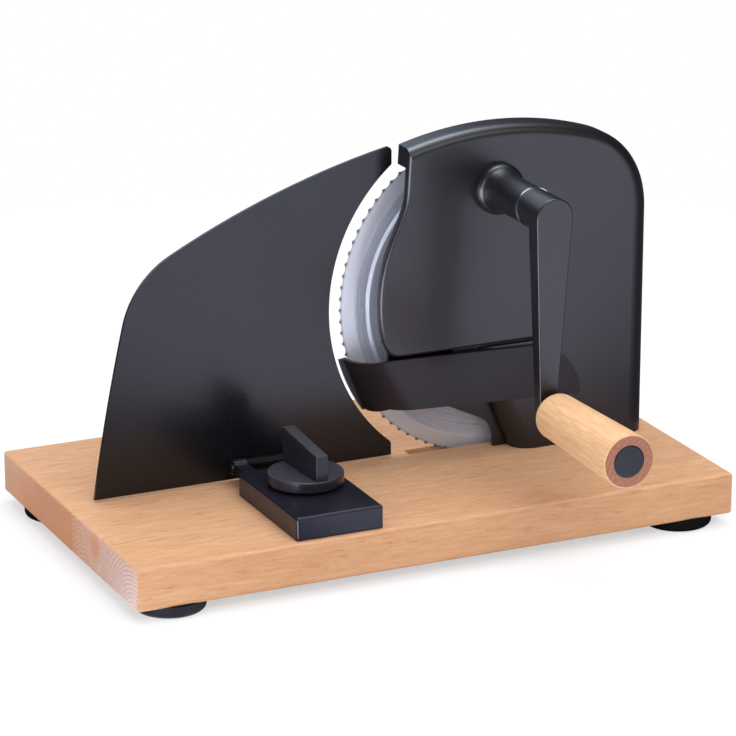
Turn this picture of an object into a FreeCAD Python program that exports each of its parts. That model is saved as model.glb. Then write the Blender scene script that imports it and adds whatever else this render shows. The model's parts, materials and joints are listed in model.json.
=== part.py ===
import FreeCAD, Part

# Hand cranked food slicer: a beech board on rubber feet carries a cast housing with a
# crank, a round scalloped blade and a deflector strip, and a sheet metal guide plate on
# a carriage that a knob moves to set the slice thickness.
#
# Millimetres, +Z up. X runs along the board, -Y is the crank side where the slices fall,
# +Y is the loaf's side. The origin lies on the floor under the middle of the whole object.
# In the code x is measured from the board's middle, y from its centre line and h from
# its top face; seat() turns these into the object's own frame.

import math
import os
import re

import Sketcher

# How far two places may lie apart and still count as the same one.
SAME = 0.01

Vector = FreeCAD.Vector
Rotation = FreeCAD.Rotation

# Driving dimensions. Every cell of the sheet holds one of them.
SIZES = {
    # fits: radial slip of fixed pieces, radial play of running ones, gap between faces
    "slip": 0.1,
    "running": 0.05,
    "gap": 0.3,
    # what a hole is deeper than its screw, and what joined pieces reach into each other
    "thread_room": 1,
    "overlap": 1,
    # shares of a screw head's size that its hexagon socket takes
    "socket_width": 0.45,
    "socket_depth": 0.55,
    # board, its slot and feet
    "board_length": 345,
    "board_depth": 200,
    "board_thickness": 23,
    "board_edge": 1.8,
    "slot_start": 27,
    "slot_end": 128,
    "slot_front": 1,
    "slot_width": 7,
    "slot_deep": 11,
    "foot_radius": 19,
    "foot_height": 6.5,
    "foot_edge": 2.5,
    "foot_from_end": 24.5,
    "foot_from_side": 18,
    "back_foot_from_end": 21,
    "back_foot_from_side": 30,
    "foot_recess": 3.6,
    "foot_screw_radius": 2,
    "foot_screw_length": 17,
    "foot_screw_head": 4.2,
    "foot_screw_head_height": 2.2,
    # housing: depths are in front of the board's centre line
    "housing_front": 18.5,
    "housing_back": 3.5,
    "cover_wall": 2.5,
    "frame_wall": 2.5,
    "cover_lip_edge": 1.9,
    "cover_crown_edge": 6,
    "cover_side_edge": 11.5,
    "crown_x": 18,
    "crown_middle_x": 71.75,
    "crown_peak": 184.9,
    "crown_radius": 190,
    "shoulder_radius": 50,
    "side_x": 164,
    "horn_low": 166.5,
    "lip_x": 0.55,
    "lip_back": 13.5,
    "lip_low": 63.3,
    "lip_corner": 9.5,
    "lip_widest": 93,
    "lip_bend_radius": 88.8,
    "lip_lean": 23,
    "neck_radius": 35,
    "horn_lean": 3.5,
    "rim_inset": 7,
    "rim_low": 68.5,
    "leg_split_x": 104,
    "leg_split_corner": 8,
    "leg_foot_x": 83,
    "leg_lean": 24,
    "leg_top": 62,
    "leg_edge": 11,
    "arch_x": 74.8,
    "arch_rise": 5,
    "arch_turn_x": 66.85,
    "arch_turn": 17.6,
    "arch_turn_radius": 14,
    "arch_end_x": 17,
    "arch_end": 41.5,
    "arch_end_radius": 8,
    "frame_left_x": 11.2,
    "frame_foot_end_x": 150,
    "frame_foot_height": 13,
    "frame_screw_radius": 2.5,
    "frame_screw_head": 4.8,
    "frame_screw_head_height": 3.2,
    "frame_screw_sink": 7,
    "frame_screw_grip": 9,
    "frame_screw_from_split": 20,
    "frame_screw_from_end": 8,
    "cover_boss_radius": 4.2,
    "cover_screw_radius": 1.5,
    "cover_screw_head": 2.9,
    "cover_screw_head_height": 1.6,
    "cover_screw_grip": 6,
    "boss_from_left": 9,
    "boss_horn_rise": 5.5,
    "boss_lip_rise": 12.5,
    "boss_crown_drop": 20,
    "boss_from_side": 15,
    "boss_shoulder_drop": 25,
    "boss_foot_rise": 22,
    "boss_leg_rise": 17,
    "boss_from_split": 12,
    # gear train
    "crank_x": 69.5,
    "crank_h": 151,
    "gear_module": 1.5,
    "drive_teeth": 38,
    "blade_gear_teeth": 49,
    "gear_width": 7,
    "gear_front": 13.6,
    "gear_backlash": 0.15,
    "mesh_slack": 0.06,
    "well_wall": 2,
    "well_room": 1.7,
    "well_front_wall": 1.4,
    "key_width": 3,
    "key_height": 3,
    "key_sunk": 1.4,
    "clip_width": 1,
    "clip_depth": 0.6,
    "clip_rim": 1.9,
    # blade: depths are behind the board's centre line
    "blade_offset_x": 9.5,
    "blade_radius": 92.6,
    "blade_face": 3.8,
    "blade_thickness": 1.2,
    "blade_dish": 1.2,
    "dish_radius": 75.5,
    "dish_slope": 1.6,
    "grind_radius": 83.5,
    "edge_thickness": 0.3,
    "scallop_count": 90,
    "scallop_deep": 1.3,
    "spindle_radius": 7,
    "spindle_flange": 24,
    "spindle_pilot": 9,
    "spindle_end": 15.4,
    "blade_bush_radius": 9.5,
    "blade_boss_radius": 14,
    "bearing_back": 1.2,
    "blade_screw_circle": 17,
    "blade_screw_radius": 2,
    "blade_screw_head": 3.6,
    "blade_slot_depth": 0.5,
    "blade_slot_half": 0.4,
    "blade_cap_edge": 0.5,
    # crank
    "crank_shaft_radius": 5,
    "crank_bush_radius": 7.5,
    "crank_boss_radius": 11,
    "sleeve_radius": 10.5,
    "sleeve_flare": 14.1,
    "sleeve_flare_rim": 2.5,
    "sleeve_flare_end": 16,
    "sleeve_flare_bulge": 5,
    "sleeve_flare_hollow": 24,
    "sleeve_flare_share": 0.3,
    "sleeve_front": 60,
    "sleeve_spigot": 8.4,
    "sleeve_bush_length": 14,
    "ring_width": 1.2,
    "ring_radius": 10.8,
    "arm_front": 85,
    "arm_thick_top": 10,
    "arm_thick_low": 6.8,
    "arm_half_top": 10.5,
    "arm_left_low": 7.4,
    "arm_right_low": 3.5,
    "arm_taper_start": 12,
    "arm_taper_drop": 93.5,
    "arm_end_radius": 7,
    "arm_end_turn": 16,
    "arm_edge": 0.8,
    "set_screw_socket": 2,
    "crank_radius": 106.6,
    "set_screw_radius": 2,
    # handle
    "pin_radius": 3.5,
    "pin_head": 6.5,
    "pin_head_height": 4,
    "handle_nut_radius": 4.8,
    "handle_nut_height": 4.6,
    "handle_nut_bore": 3.2,
    "handle_nut_round": 1.4,
    "handle_washer_radius": 7.5,
    "handle_start": 87,
    "handle_front": 169.2,
    "handle_radius": 14.5,
    "handle_back_radius": 12.6,
    "handle_round": 4.5,
    "handle_chamfer": 0.8,
    "handle_recess": 11,
    "handle_cap_radius": 8.75,
    "handle_cap_deep": 4.5,
    "handle_cap_proud": 0.4,
    "handle_cap_bevel": 0.9,
    # deflector strip
    "strip_thickness": 2,
    "strip_corner_x": 89.5,
    "strip_corner_h": 29,
    "strip_corner_radius": 31,
    "strip_top_x": 8,
    "strip_top": 62.5,
    "strip_end_top_x": -15,
    "strip_end_top": 60,
    "strip_end_low_x": -1,
    "strip_end_low": 29.8,
    "strip_low_x": 7,
    "strip_low": 33.9,
    "strip_end_radius": 99.6,
    "strip_lean": 22.5,
    "strip_bend": 21.1,
    "strip_bend_start": 32.65,
    "strip_lip": 9,
    "strip_screw_x": 98.5,
    "strip_screw_h": 41,
    "strip_screw_apart": 14,
    "strip_screw_radius": 2,
    "strip_screw_head": 3.6,
    "strip_screw_head_height": 1.8,
    "strip_screw_grip": 8,
    # guide plate
    "plate_thickness": 2,
    "plate_face": 1.5,
    "plate_low": 1.3,
    "plate_left_low_x": -156.4,
    "plate_left_x": -138.2,
    "plate_left_h": 94.5,
    "plate_left_radius": 1220,
    "plate_shoulder_x": -110.9,
    "plate_shoulder_h": 129.8,
    "plate_shoulder_radius": 53.6,
    "plate_crown_radius": 488,
    "plate_tip_x": 16.2,
    "plate_tip_h": 174.8,
    "plate_tip_round": 2.5,
    "plate_arc_x": 80.8,
    "plate_arc_h": 87,
    "plate_arc_radius": 101.4,
    "plate_heel_back": 1.1,
    "plate_heel_drop": 1.4,
    "plate_heel_radius": 3,
    # carriage, its rails and knob
    "box_left_x": -83,
    "box_right_x": -34,
    "box_front": 96.5,
    "box_back": 18.5,
    "box_back_corner": 2.5,
    "ear_top": 12,
    "box_height": 12.7,
    "box_wall": 2.5,
    "box_edge": 1.6,
    "box_lip": 2.5,
    "box_lip_height": 2.2,
    "rail_back": 38.5,
    "rail_front": 91.5,
    "rail_top": 9.8,
    "guide_rail_width": 7.4,
    "rail_screw_radius": 1.5,
    "rail_screw_head": 3,
    "rail_screw_head_height": 2.4,
    "rail_screw_sink": 3,
    "rail_screw_grip": 9,
    "rail_screw_from_end": 7,
    "rack_screw_back": 8,
    "knob_x": -57.75,
    "knob_y": 50.5,
    "rack_module": 1,
    "pinion_teeth": 12,
    "rack_addendum": 0.6,
    "rack_backlash": 0.1,
    "pinion_width": 4,
    "pinion_low": 5.6,
    "knob_shaft_radius": 4,
    "pinion_seat_radius": 3,
    "knob_washer_radius": 12,
    "knob_low": 14,
    "knob_top": 20.2,
    "knob_radius": 20.3,
    "knob_edge": 0.9,
    "fin_width": 7,
    "fin_front": 19.6,
    "fin_back": 24,
    "fin_back_h": 39,
    "fin_slope": 7.4,
    "fin_nose_radius": 5,
    "fin_nose_turn": 38,
    "fin_hollow_radius": 17.5,
    "fin_turn": 3,
    "fin_edge": 0.8,
    "knob_roof": 1.5,
    "spindle_tip": 0.8,
    "bar_y": 3.3,
    "bar_h": 10,
    "bar_radius": 4,
    "bar_left_x": -79,
    "bar_split_x": -72,
    "bar_right_x": -38,
    "cross_pin_radius": 2,
    "cross_pin_head": 4.25,
    "cross_pin_head_width": 2.6,
    "bracket_leaf": 1.5,
    "bracket_leaf_low": 2.5,
    "bracket_leaf_top": 13.5,
}

# Sizes that follow from the driving ones.
DERIVED = {
    "board_top": "foot_height + board_thickness",
    "board_low": "-board_thickness",
    "mid_y": "(handle_front + handle_cap_proud - board_depth / 2) / 2",
    "cover_back": "housing_back + frame_wall",
    "cover_inside": "housing_front - cover_wall",
    "crown_centre": "crown_peak - crown_radius",
    "shoulder_reach": "side_x - shoulder_radius - crown_middle_x",
    "shoulder_span": "crown_radius - shoulder_radius",
    "shoulder_rise": "sqrt(shoulder_span * shoulder_span - shoulder_reach * shoulder_reach)",
    "crown_reach": "crown_middle_x - crown_x",
    "crown_end": "crown_centre + sqrt(crown_radius * crown_radius - crown_reach * crown_reach)",
    "lip_middle": "lip_x + lip_bend_radius",
    "neck_turn": "lip_lean - horn_lean",
    "neck_rise": "(lip_middle - crown_x) * cos(lip_lean) + (crown_end - lip_widest) * sin(lip_lean)",
    "neck_run": "(neck_rise - lip_bend_radius - neck_radius * (1 - cos(neck_turn))) / sin(neck_turn)",
    "neck_middle_x": "crown_x - neck_run * sin(horn_lean) - neck_radius * cos(horn_lean)",
    "neck_middle_h": "crown_end - neck_run * cos(horn_lean) + neck_radius * sin(horn_lean)",
    "drive_pitch": "gear_module * drive_teeth / 2",
    "blade_pitch": "gear_module * blade_gear_teeth / 2",
    "gear_back": "gear_front - gear_width",
    "bearing_front": "gear_back - gap",
    "mesh_distance": "drive_pitch + blade_pitch + mesh_slack",
    "blade_x": "crank_x + blade_offset_x",
    "blade_h": "crank_h - sqrt(mesh_distance * mesh_distance - blade_offset_x * blade_offset_x)",
    "well_radius": "blade_pitch + gear_module + well_room",
    "well_front": "cover_inside - slip",
    "flange_front": "bearing_back - gap",
    "dish_face": "blade_face - blade_dish",
    "blade_back": "blade_face + blade_thickness",
    "ring_back": "sleeve_front + slip",
    "hub_back": "ring_back + ring_width",
    "handle_h": "crank_h - crank_radius",
    "strip_front": "housing_front + strip_thickness",
    "inside_left_x": "box_left_x + box_wall",
    "inside_right_x": "box_right_x - box_wall",
    "lip_top": "gap + box_lip_height",
    "rail_head_low": "lip_top + gap",
    "rack_x": "knob_x - rack_module * pinion_teeth / 2",
    "rail_seat": "rail_top - rail_screw_sink",
    "nose_start": "fin_back - fin_nose_radius * (1 + sin(fin_slope))",
    "nose_h": "fin_back_h - fin_nose_radius * cos(fin_slope)",
    "fin_front_h": "fin_back_h - (fin_front + nose_start) * tan(fin_slope)",
}

doc = FreeCAD.newDocument("slicer")
sheet = doc.addObject("Spreadsheet::Sheet", "Sizes")
for row, (alias, number) in enumerate(SIZES.items(), start=1):
    sheet.set(f"A{row}", alias)
    sheet.set(f"B{row}", str(number))
    sheet.setAlias(f"B{row}", alias)
doc.recompute()
reader = doc.addObject("App::FeaturePython", "Reader")
subparts = {}


def bind(text):
    """Return the expression with every size name turned into a reference to the sheet."""
    def replace(match):
        word = match.group(0)
        if word in DERIVED:
            return f"({bind(DERIVED[word])})"
        if word in SIZES:
            return f"Sizes.{word}"
        return word
    return re.sub(r"[a-z_]+", replace, str(text))


def value(text):
    """Return the number that an expression of sizes gives now."""
    return float(reader.evalExpression(bind(text)))


def keep(thing, label):
    """Make an object the sub-part of this name."""
    thing.Label = label
    subparts[label] = thing
    return thing


def seat(thing, x="0", y="0", h="0"):
    """Place an object in the slicer's frame by expressions."""
    thing.setExpression("Placement.Base.x", bind(x))
    thing.setExpression("Placement.Base.y", bind(f"({y}) + mid_y"))
    thing.setExpression("Placement.Base.z", bind(f"({h}) + board_top"))


# The turn that takes a piece's own +z toward each side.
TURNS = {
    "up": Rotation(),
    "down": Rotation(Vector(1, 0, 0), 180),
    "back": Rotation(Vector(1, 0, 0), -90),
    "front": Rotation(Vector(1, 0, 0), 90),
    "right": Rotation(Vector(0, 1, 0), 90),
    "left": Rotation(Vector(0, 1, 0), -90),
}
OPPOSITE = {"up": "down", "down": "up", "back": "front", "front": "back"}


def cylinder(name, radius, length, at, toward="front"):
    """A cylinder whose base is centred on a place and whose axis points toward a side."""
    thing = doc.addObject("Part::Cylinder", name)
    thing.setExpression("Radius", bind(radius))
    thing.setExpression("Height", bind(length))
    thing.Placement.Rotation = TURNS[toward]
    seat(thing, *at)
    return thing


def cone(name, base_radius, end_radius, length, at, toward="front"):
    thing = doc.addObject("Part::Cone", name)
    thing.setExpression("Radius1", bind(base_radius))
    thing.setExpression("Radius2", bind(end_radius))
    thing.setExpression("Height", bind(length))
    thing.Placement.Rotation = TURNS[toward]
    seat(thing, *at)
    return thing


def box(name, x, y, h):
    """A box between two limits along each direction."""
    thing = doc.addObject("Part::Box", name)
    for side, (low, high) in (("Length", x), ("Width", y), ("Height", h)):
        thing.setExpression(side, bind(f"({high}) - ({low})"))
    seat(thing, x[0], y[0], h[0])
    return thing


def fuse(name, *pieces, refine=True):
    thing = doc.addObject("Part::MultiFuse", name)
    thing.Shapes = list(pieces)
    thing.Refine = refine
    return thing


def cut(name, base, *tools):
    thing = doc.addObject("Part::Cut", name)
    thing.Base = base
    thing.Tool = tools[0] if len(tools) == 1 else fuse(name + "_tools", *tools, refine=False)
    return thing


def common(name, base, tool):
    thing = doc.addObject("Part::Common", name)
    thing.Base = base
    thing.Tool = tool
    return thing


def group(name, *pieces):
    thing = doc.addObject("Part::Compound", name)
    thing.Links = list(pieces)
    return thing


def fillet(name, base, choose):
    """Round the edges for which choose gives a radius, or two for one that changes."""
    doc.recompute()
    edges = []
    for number, edge in enumerate(base.Shape.Edges, start=1):
        radii = choose(edge)
        if radii:
            start, end = radii if isinstance(radii, tuple) else (radii, radii)
            edges.append((number, start, end))
    thing = doc.addObject("Part::Fillet", name)
    thing.Base = base
    thing.Edges = edges
    return thing


def draw(sketch, corners):
    """Draw a closed outline in a sketch, each corner pinned by its two expressions.

    A corner is (across, up) where a straight line ends, or (across, up, radius) where
    an arc of at most half a circle ends. The arc bulges to the left of the way it runs
    if its radius is written with a minus sign, otherwise to the right.
    """
    places = [Vector(value(corner[0]), value(corner[1]), 0) for corner in corners]
    starts = places[-1:] + places[:-1]
    # The numbers of each segment's first and last point; an arc's own run is anticlockwise.
    ends = []
    for corner, start, end in zip(corners, starts, places):
        if len(corner) == 2:
            sketch.addGeometry(Part.LineSegment(start, end), False)
            ends.append((1, 2))
            continue
        bulge_left = corner[2].startswith("-")
        radius = value(corner[2].lstrip("-"))
        half = (end - start) * 0.5
        left = Vector(-half.y, half.x, 0) * (1 / half.Length)
        outward = left if bulge_left else left * -1
        depth = math.sqrt(max(0, radius * radius - half.Length * half.Length))
        centre = start + half - outward * depth
        first, last = (end, start) if bulge_left else (start, end)
        angles = [math.atan2(point.y - centre.y, point.x - centre.x) for point in (first, last)]
        ring = Part.Circle(centre, Vector(0, 0, 1), radius)
        sketch.addGeometry(Part.ArcOfCircle(ring, *angles), False)
        ends.append((2, 1) if bulge_left else (1, 2))
    count = len(corners)
    for number, corner in enumerate(corners):
        finish = ends[number][1]
        following = (number + 1) % count
        sketch.addConstraint(
            Sketcher.Constraint("Coincident", number, finish, following, ends[following][0]))
        for kind, text in (("DistanceX", corner[0]), ("DistanceY", corner[1])):
            pin = Sketcher.Constraint(kind, -1, 1, number, finish, value(text))
            sketch.setExpression(f"Constraints[{sketch.addConstraint(pin)}]", bind(text))
        if len(corner) == 3:
            text = corner[2].lstrip("-")
            pin = Sketcher.Constraint("Radius", number, value(text))
            sketch.setExpression(f"Constraints[{sketch.addConstraint(pin)}]", bind(text))


def body(name, at=("0", "0", "0"), toward="up"):
    thing = doc.addObject("PartDesign::Body", name)
    thing.Placement.Rotation = TURNS[toward]
    seat(thing, *at)
    return thing


def sketch_on(owner, role, name, corners):
    """An outline on one of its own body's origin planes."""
    plane = next(item for item in owner.Origin.OriginFeatures if item.Role == role)
    sketch = owner.newObject("Sketcher::SketchObject", name)
    sketch.AttachmentSupport = [(plane, "")]
    sketch.MapMode = "FlatFace"
    draw(sketch, corners)
    return sketch


def outline(name, corners):
    """An upright outline in the plane of the board's centre line, seen from the front."""
    sketch = doc.addObject("Sketcher::SketchObject", name)
    sketch.Placement.Rotation = TURNS["front"]
    seat(sketch)
    draw(sketch, corners)
    return sketch


def slab(name, sketch, front, back):
    """Extrude an upright outline between two depths, given as distances to the front."""
    thing = doc.addObject("Part::Extrusion", name)
    thing.Base = sketch
    thing.DirMode = "Custom"
    thing.Dir = Vector(0, -1, 0)
    thing.Solid = True
    thing.setExpression("LengthFwd", bind(front))
    thing.setExpression("LengthRev", bind(f"-({back})"))
    return thing


def turned(name, at, toward, corners):
    """A body turned about its own axis; corners are (radius, distance along the axis)."""
    owner = body(name, at, toward)
    sketch = sketch_on(owner, "XZ_Plane", name + "_profile", corners)
    turn = owner.newObject("PartDesign::Revolution", name + "_turn")
    turn.Profile = sketch
    turn.ReferenceAxis = (sketch, ["V_Axis"])
    turn.Angle = 360
    return owner


def tube(name, outer, inner, length, at, toward="front"):
    """A plain ring or bush."""
    return turned(name, at, toward, [
        (inner, "0"), (outer, "0"), (outer, length), (inner, length)])


def pad(owner, sketch, name, length, reverse=False):
    thing = owner.newObject("PartDesign::Pad", name)
    thing.Profile = sketch
    thing.Reversed = reverse
    thing.setExpression("Length", bind(length))
    return thing


def pocket(owner, sketch, name, depth, reverse=False):
    """Cut a sketch into its body, and make sure that the cut takes something away."""
    doc.recompute()
    before = owner.Shape.Volume
    thing = owner.newObject("PartDesign::Pocket", name)
    thing.Profile = sketch
    thing.Reversed = reverse
    thing.setExpression("Length", bind(depth))
    doc.recompute()
    if owner.Shape.Volume >= before:
        raise ValueError(f"{name} cuts nothing")
    return thing


def screw(name, at, toward, radius, length, head, head_height):
    """A socket screw; at is its head's underside, and its shank runs toward a side."""
    away = OPPOSITE[toward]
    shank = cylinder(name + "_shank", radius, length, at, toward)
    cap = cylinder(name + "_head", head, head_height, at, away)
    socket = doc.addObject("Part::Prism", name + "_socket")
    socket.Polygon = 6
    socket.setExpression("Circumradius", bind(f"({head}) * socket_width"))
    socket.setExpression("Height", bind(head_height))
    socket.Placement.Rotation = TURNS[away]
    sign = {"up": "+", "down": "-", "front": "-", "back": "+"}[away]
    spot = list(at)
    axis = 2 if away in ("up", "down") else 1
    spot[axis] = f"({at[axis]}) {sign} ({head_height}) * (1 - socket_depth)"
    seat(socket, *spot)
    return cut(name, fuse(name + "_whole", shank, cap), socket)


def shaped(name, shape, toward, at):
    """A feature whose shape is worked out from the sheet's values, then placed."""
    thing = doc.addObject("Part::Feature", name)
    thing.Shape = shape
    thing.Placement = FreeCAD.Placement(Vector(), TURNS[toward])
    seat(thing, *at)
    return thing


def gear(module, teeth, width, bore, backlash, turn):
    """A spur gear along +z with involute flanks, one tooth centred at the angle turn."""
    pressure = math.radians(20)
    pitch = module * teeth / 2
    base = pitch * math.cos(pressure)
    tip = pitch + module
    root = pitch - 1.25 * module
    low = max(base, root)
    spread = math.tan(pressure) - pressure
    half_tooth = math.pi / (2 * teeth) - backlash / (2 * pitch) + spread
    step = 2 * math.pi / teeth

    def flank(radius):
        """Half of the tooth's angle at a radius."""
        roll = math.acos(min(1, base / radius))
        return half_tooth - math.tan(roll) + roll

    def point(radius, angle):
        return Vector(radius * math.cos(angle), radius * math.sin(angle), 0)

    edges = []
    for number in range(teeth):
        centre = turn + number * step
        radii = (low, (low + tip) / 2, tip)
        rise = [point(radius, centre - flank(radius)) for radius in radii]
        fall = [point(radius, centre + flank(radius)) for radius in reversed(radii)]
        floor_start = point(root, centre + flank(low))
        floor_middle = point(root, centre + step / 2)
        floor_end = point(root, centre + step - flank(low))
        edges.append(Part.Arc(*rise).toShape())
        edges.append(Part.Arc(rise[-1], point(tip, centre), fall[0]).toShape())
        edges.append(Part.Arc(*fall).toShape())
        if low > root:
            edges.append(Part.makeLine(fall[-1], floor_start))
        edges.append(Part.Arc(floor_start, floor_middle, floor_end).toShape())
        if low > root:
            edges.append(Part.makeLine(floor_end, point(low, centre + step - flank(low))))
    blank = Part.Face(Part.Wire(edges)).extrude(Vector(0, 0, width))
    return blank.cut(Part.makeCylinder(bore, width))


def rack(module, length, height, addendum, backlash, back, gap_at):
    """A toothed bar along +y, its pitch line on x = 0 and its back face at -back.

    The gap between two of its teeth is centred at the distance gap_at.
    """
    slope = math.tan(math.radians(20))
    step = math.pi * module
    depth = 1.25 * module
    start = gap_at % step
    count = int((length - start) / step)
    half_pitch = step / 4 - backlash / 2
    points = [Vector(-back, 0, 0), Vector(-depth, 0, 0)]
    for number in range(count):
        middle = start + (number + 0.5) * step
        points.append(Vector(-depth, middle - half_pitch - depth * slope, 0))
        points.append(Vector(addendum, middle - half_pitch + addendum * slope, 0))
        points.append(Vector(addendum, middle + half_pitch - addendum * slope, 0))
        points.append(Vector(-depth, middle + half_pitch + depth * slope, 0))
    points += [Vector(-depth, length, 0), Vector(-back, length, 0)]
    return Part.Face(Part.makePolygon(points + points[:1])).extrude(Vector(0, 0, height))


# Places of what repeats, as (x, y) on the board or (x, h) on the housing.
FOOT_PLACES = {
    "foot_front_left": ("foot_from_end - board_length / 2", "foot_from_side - board_depth / 2"),
    "foot_front_right": ("board_length / 2 - foot_from_end", "foot_from_side - board_depth / 2"),
    "foot_back_left": ("back_foot_from_end - board_length / 2",
                       "board_depth / 2 - back_foot_from_side"),
    "foot_back_right": ("board_length / 2 - back_foot_from_end",
                        "board_depth / 2 - back_foot_from_side"),
}
FRAME_SCREW_Y = "-(cover_inside + cover_back) / 2"
FRAME_SCREWS = (
    ("leg_foot_x + leg_edge", FRAME_SCREW_Y),
    ("leg_split_x + frame_screw_from_split", FRAME_SCREW_Y),
    ("frame_foot_end_x - frame_screw_from_end", FRAME_SCREW_Y),
)
COVER_SCREWS = (
    ("crown_x + boss_from_left", "horn_low + boss_horn_rise"),
    ("lip_x + rim_inset + boss_from_left", "rim_low + boss_lip_rise"),
    ("side_x - shoulder_radius",
     "crown_centre + shoulder_rise + shoulder_radius - boss_crown_drop"),
    ("side_x - boss_from_side", "crown_centre + shoulder_rise - boss_shoulder_drop"),
    ("side_x - boss_from_side", "frame_foot_height + boss_foot_rise"),
    ("leg_split_x + boss_from_split", "frame_foot_height + boss_leg_rise"),
)
STRIP_SCREWS = (
    ("strip_screw_x", "strip_screw_h - strip_screw_apart / 2"),
    ("strip_screw_x", "strip_screw_h + strip_screw_apart / 2"),
)
RAIL_X = ("rack_x - rack_screw_back", "inside_right_x - slip - guide_rail_width * 2 / 3")
RAIL_SCREWS = tuple(
    (x, y) for x in RAIL_X
    for y in ("-rail_front + rail_screw_from_end", "-rail_back - rail_screw_from_end"))


# Board and feet

def make_board():
    owner = body("board_body")
    left, right = "-board_length / 2", "board_length / 2"
    front, back = "-board_depth / 2", "board_depth / 2"
    base = sketch_on(owner, "XY_Plane", "board_outline", [
        (left, front), (right, front), (right, back), (left, back)])
    pad(owner, base, "board_pad", "board_thickness", reverse=True)
    doc.recompute()
    soft = owner.newObject("PartDesign::Fillet", "board_rounding")
    edges = [f"Edge{number + 1}" for number in range(len(owner.Shape.Edges))]
    soft.Base = (doc.getObject("board_pad"), edges)
    soft.setExpression("Radius", bind("board_edge"))
    slot = sketch_on(owner, "XY_Plane", "slot_outline", [
        ("slot_start", "slot_front"), ("slot_end", "slot_front"),
        ("slot_end", "slot_front + slot_width"), ("slot_start", "slot_front + slot_width")])
    pocket(owner, slot, "slot", "slot_deep")
    holes = []
    for number, (x, y) in enumerate(FOOT_PLACES.values()):
        holes.append(cylinder(f"foot_pilot_{number}", "foot_screw_radius + slip",
                              "foot_screw_length", (x, y, "board_low"), "up"))
    for number, (x, y) in enumerate(FRAME_SCREWS):
        holes.append(cylinder(f"frame_passage_{number}", "frame_screw_radius + slip",
                              "board_thickness", (x, y, "board_low"), "up"))
        holes.append(cylinder(f"frame_sink_{number}", "frame_screw_head + slip",
                              "frame_screw_sink", (x, y, "board_low"), "up"))
    for number, (x, y) in enumerate(RAIL_SCREWS):
        holes.append(cylinder(f"rail_pilot_{number}", "rail_screw_radius + slip",
                              "rail_screw_grip + thread_room", (x, y, "0"), "down"))
    keep(cut("board_drilled", owner, *holes), "base_board")


def make_feet():
    screws = []
    bore = "foot_screw_radius + slip"
    recess = "foot_screw_head + slip * 4"
    for name, (x, y) in FOOT_PLACES.items():
        foot = turned(name + "_body", (x, y, "board_low - foot_height"), "up", [
            (recess, "0"), ("foot_radius - foot_edge", "0"),
            ("foot_radius", "foot_edge", "foot_edge"), ("foot_radius", "foot_height"),
            (bore, "foot_height"), (bore, "foot_recess"), (recess, "foot_recess")])
        keep(foot, name)
        place = (x, y, "board_low - foot_height + foot_recess")
        screws.append(screw(name + "_screw", place, "up", "foot_screw_radius",
                            "foot_screw_length", "foot_screw_head", "foot_screw_head_height"))
    keep(group("foot_screw_group", *screws), "foot_screws")


# Housing. Its outlines run up the left side, over the crown and down the right side.

def lower_corner(shift, inset, low):
    """The rounded corner under the S, which runs smoothly into its convex arc."""
    reach = "(lip_bend_radius - lip_corner)"
    drop = f"(lip_widest - {low} - lip_corner)"
    run = f"sqrt({reach} * {reach} - {drop} * {drop})"
    share = f"(lip_bend_radius - {inset}) / {reach}"
    return [(f"lip_middle + {shift} - {run}", f"{low} + {inset}"),
            (f"lip_middle + {shift} - {run} * {share}", f"lip_widest - {drop} * {share}",
             f"-(lip_corner - {inset})")]


def left_side(shift, inset):
    """The S-shaped left side, moved right by shift and then inset, from its convex arc up."""
    convex = f"(lip_bend_radius - {inset})"
    concave = f"(neck_radius + {inset})"
    return [
        (f"lip_middle + {shift} - {convex} * cos(lip_lean)",
         f"lip_widest + {convex} * sin(lip_lean)", f"-{convex}"),
        (f"neck_middle_x + {shift} + {concave} * cos(lip_lean)",
         f"neck_middle_h - {concave} * sin(lip_lean)"),
        (f"neck_middle_x + {shift} + {concave} * cos(horn_lean)",
         f"neck_middle_h - {concave} * sin(horn_lean)", concave),
    ]


def crown(inset):
    """The crown from its left end, the shoulder and the right side, inset by a wall."""
    radius = f"(crown_radius - {inset})"
    reach = f"(crown_x + {inset} - crown_middle_x)"
    return [
        (f"crown_x + {inset}", f"crown_centre + sqrt({radius} * {radius} - {reach} * {reach})"),
        (f"crown_middle_x + {radius} * shoulder_reach / shoulder_span",
         f"crown_centre + {radius} * shoulder_rise / shoulder_span", f"-{radius}"),
        (f"side_x - {inset}", "crown_centre + shoulder_rise",
         f"-(shoulder_radius - {inset})"),
    ]


def horn(inset):
    """The step from the inset rim out to the horn's own leaning left side."""
    low = f"(horn_low + {inset})"
    side = f"crown_x + {inset} / cos(horn_lean) - (crown_end - {low}) * tan(horn_lean)"
    return [(f"{side} + rim_inset", low), (side, low)]


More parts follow.
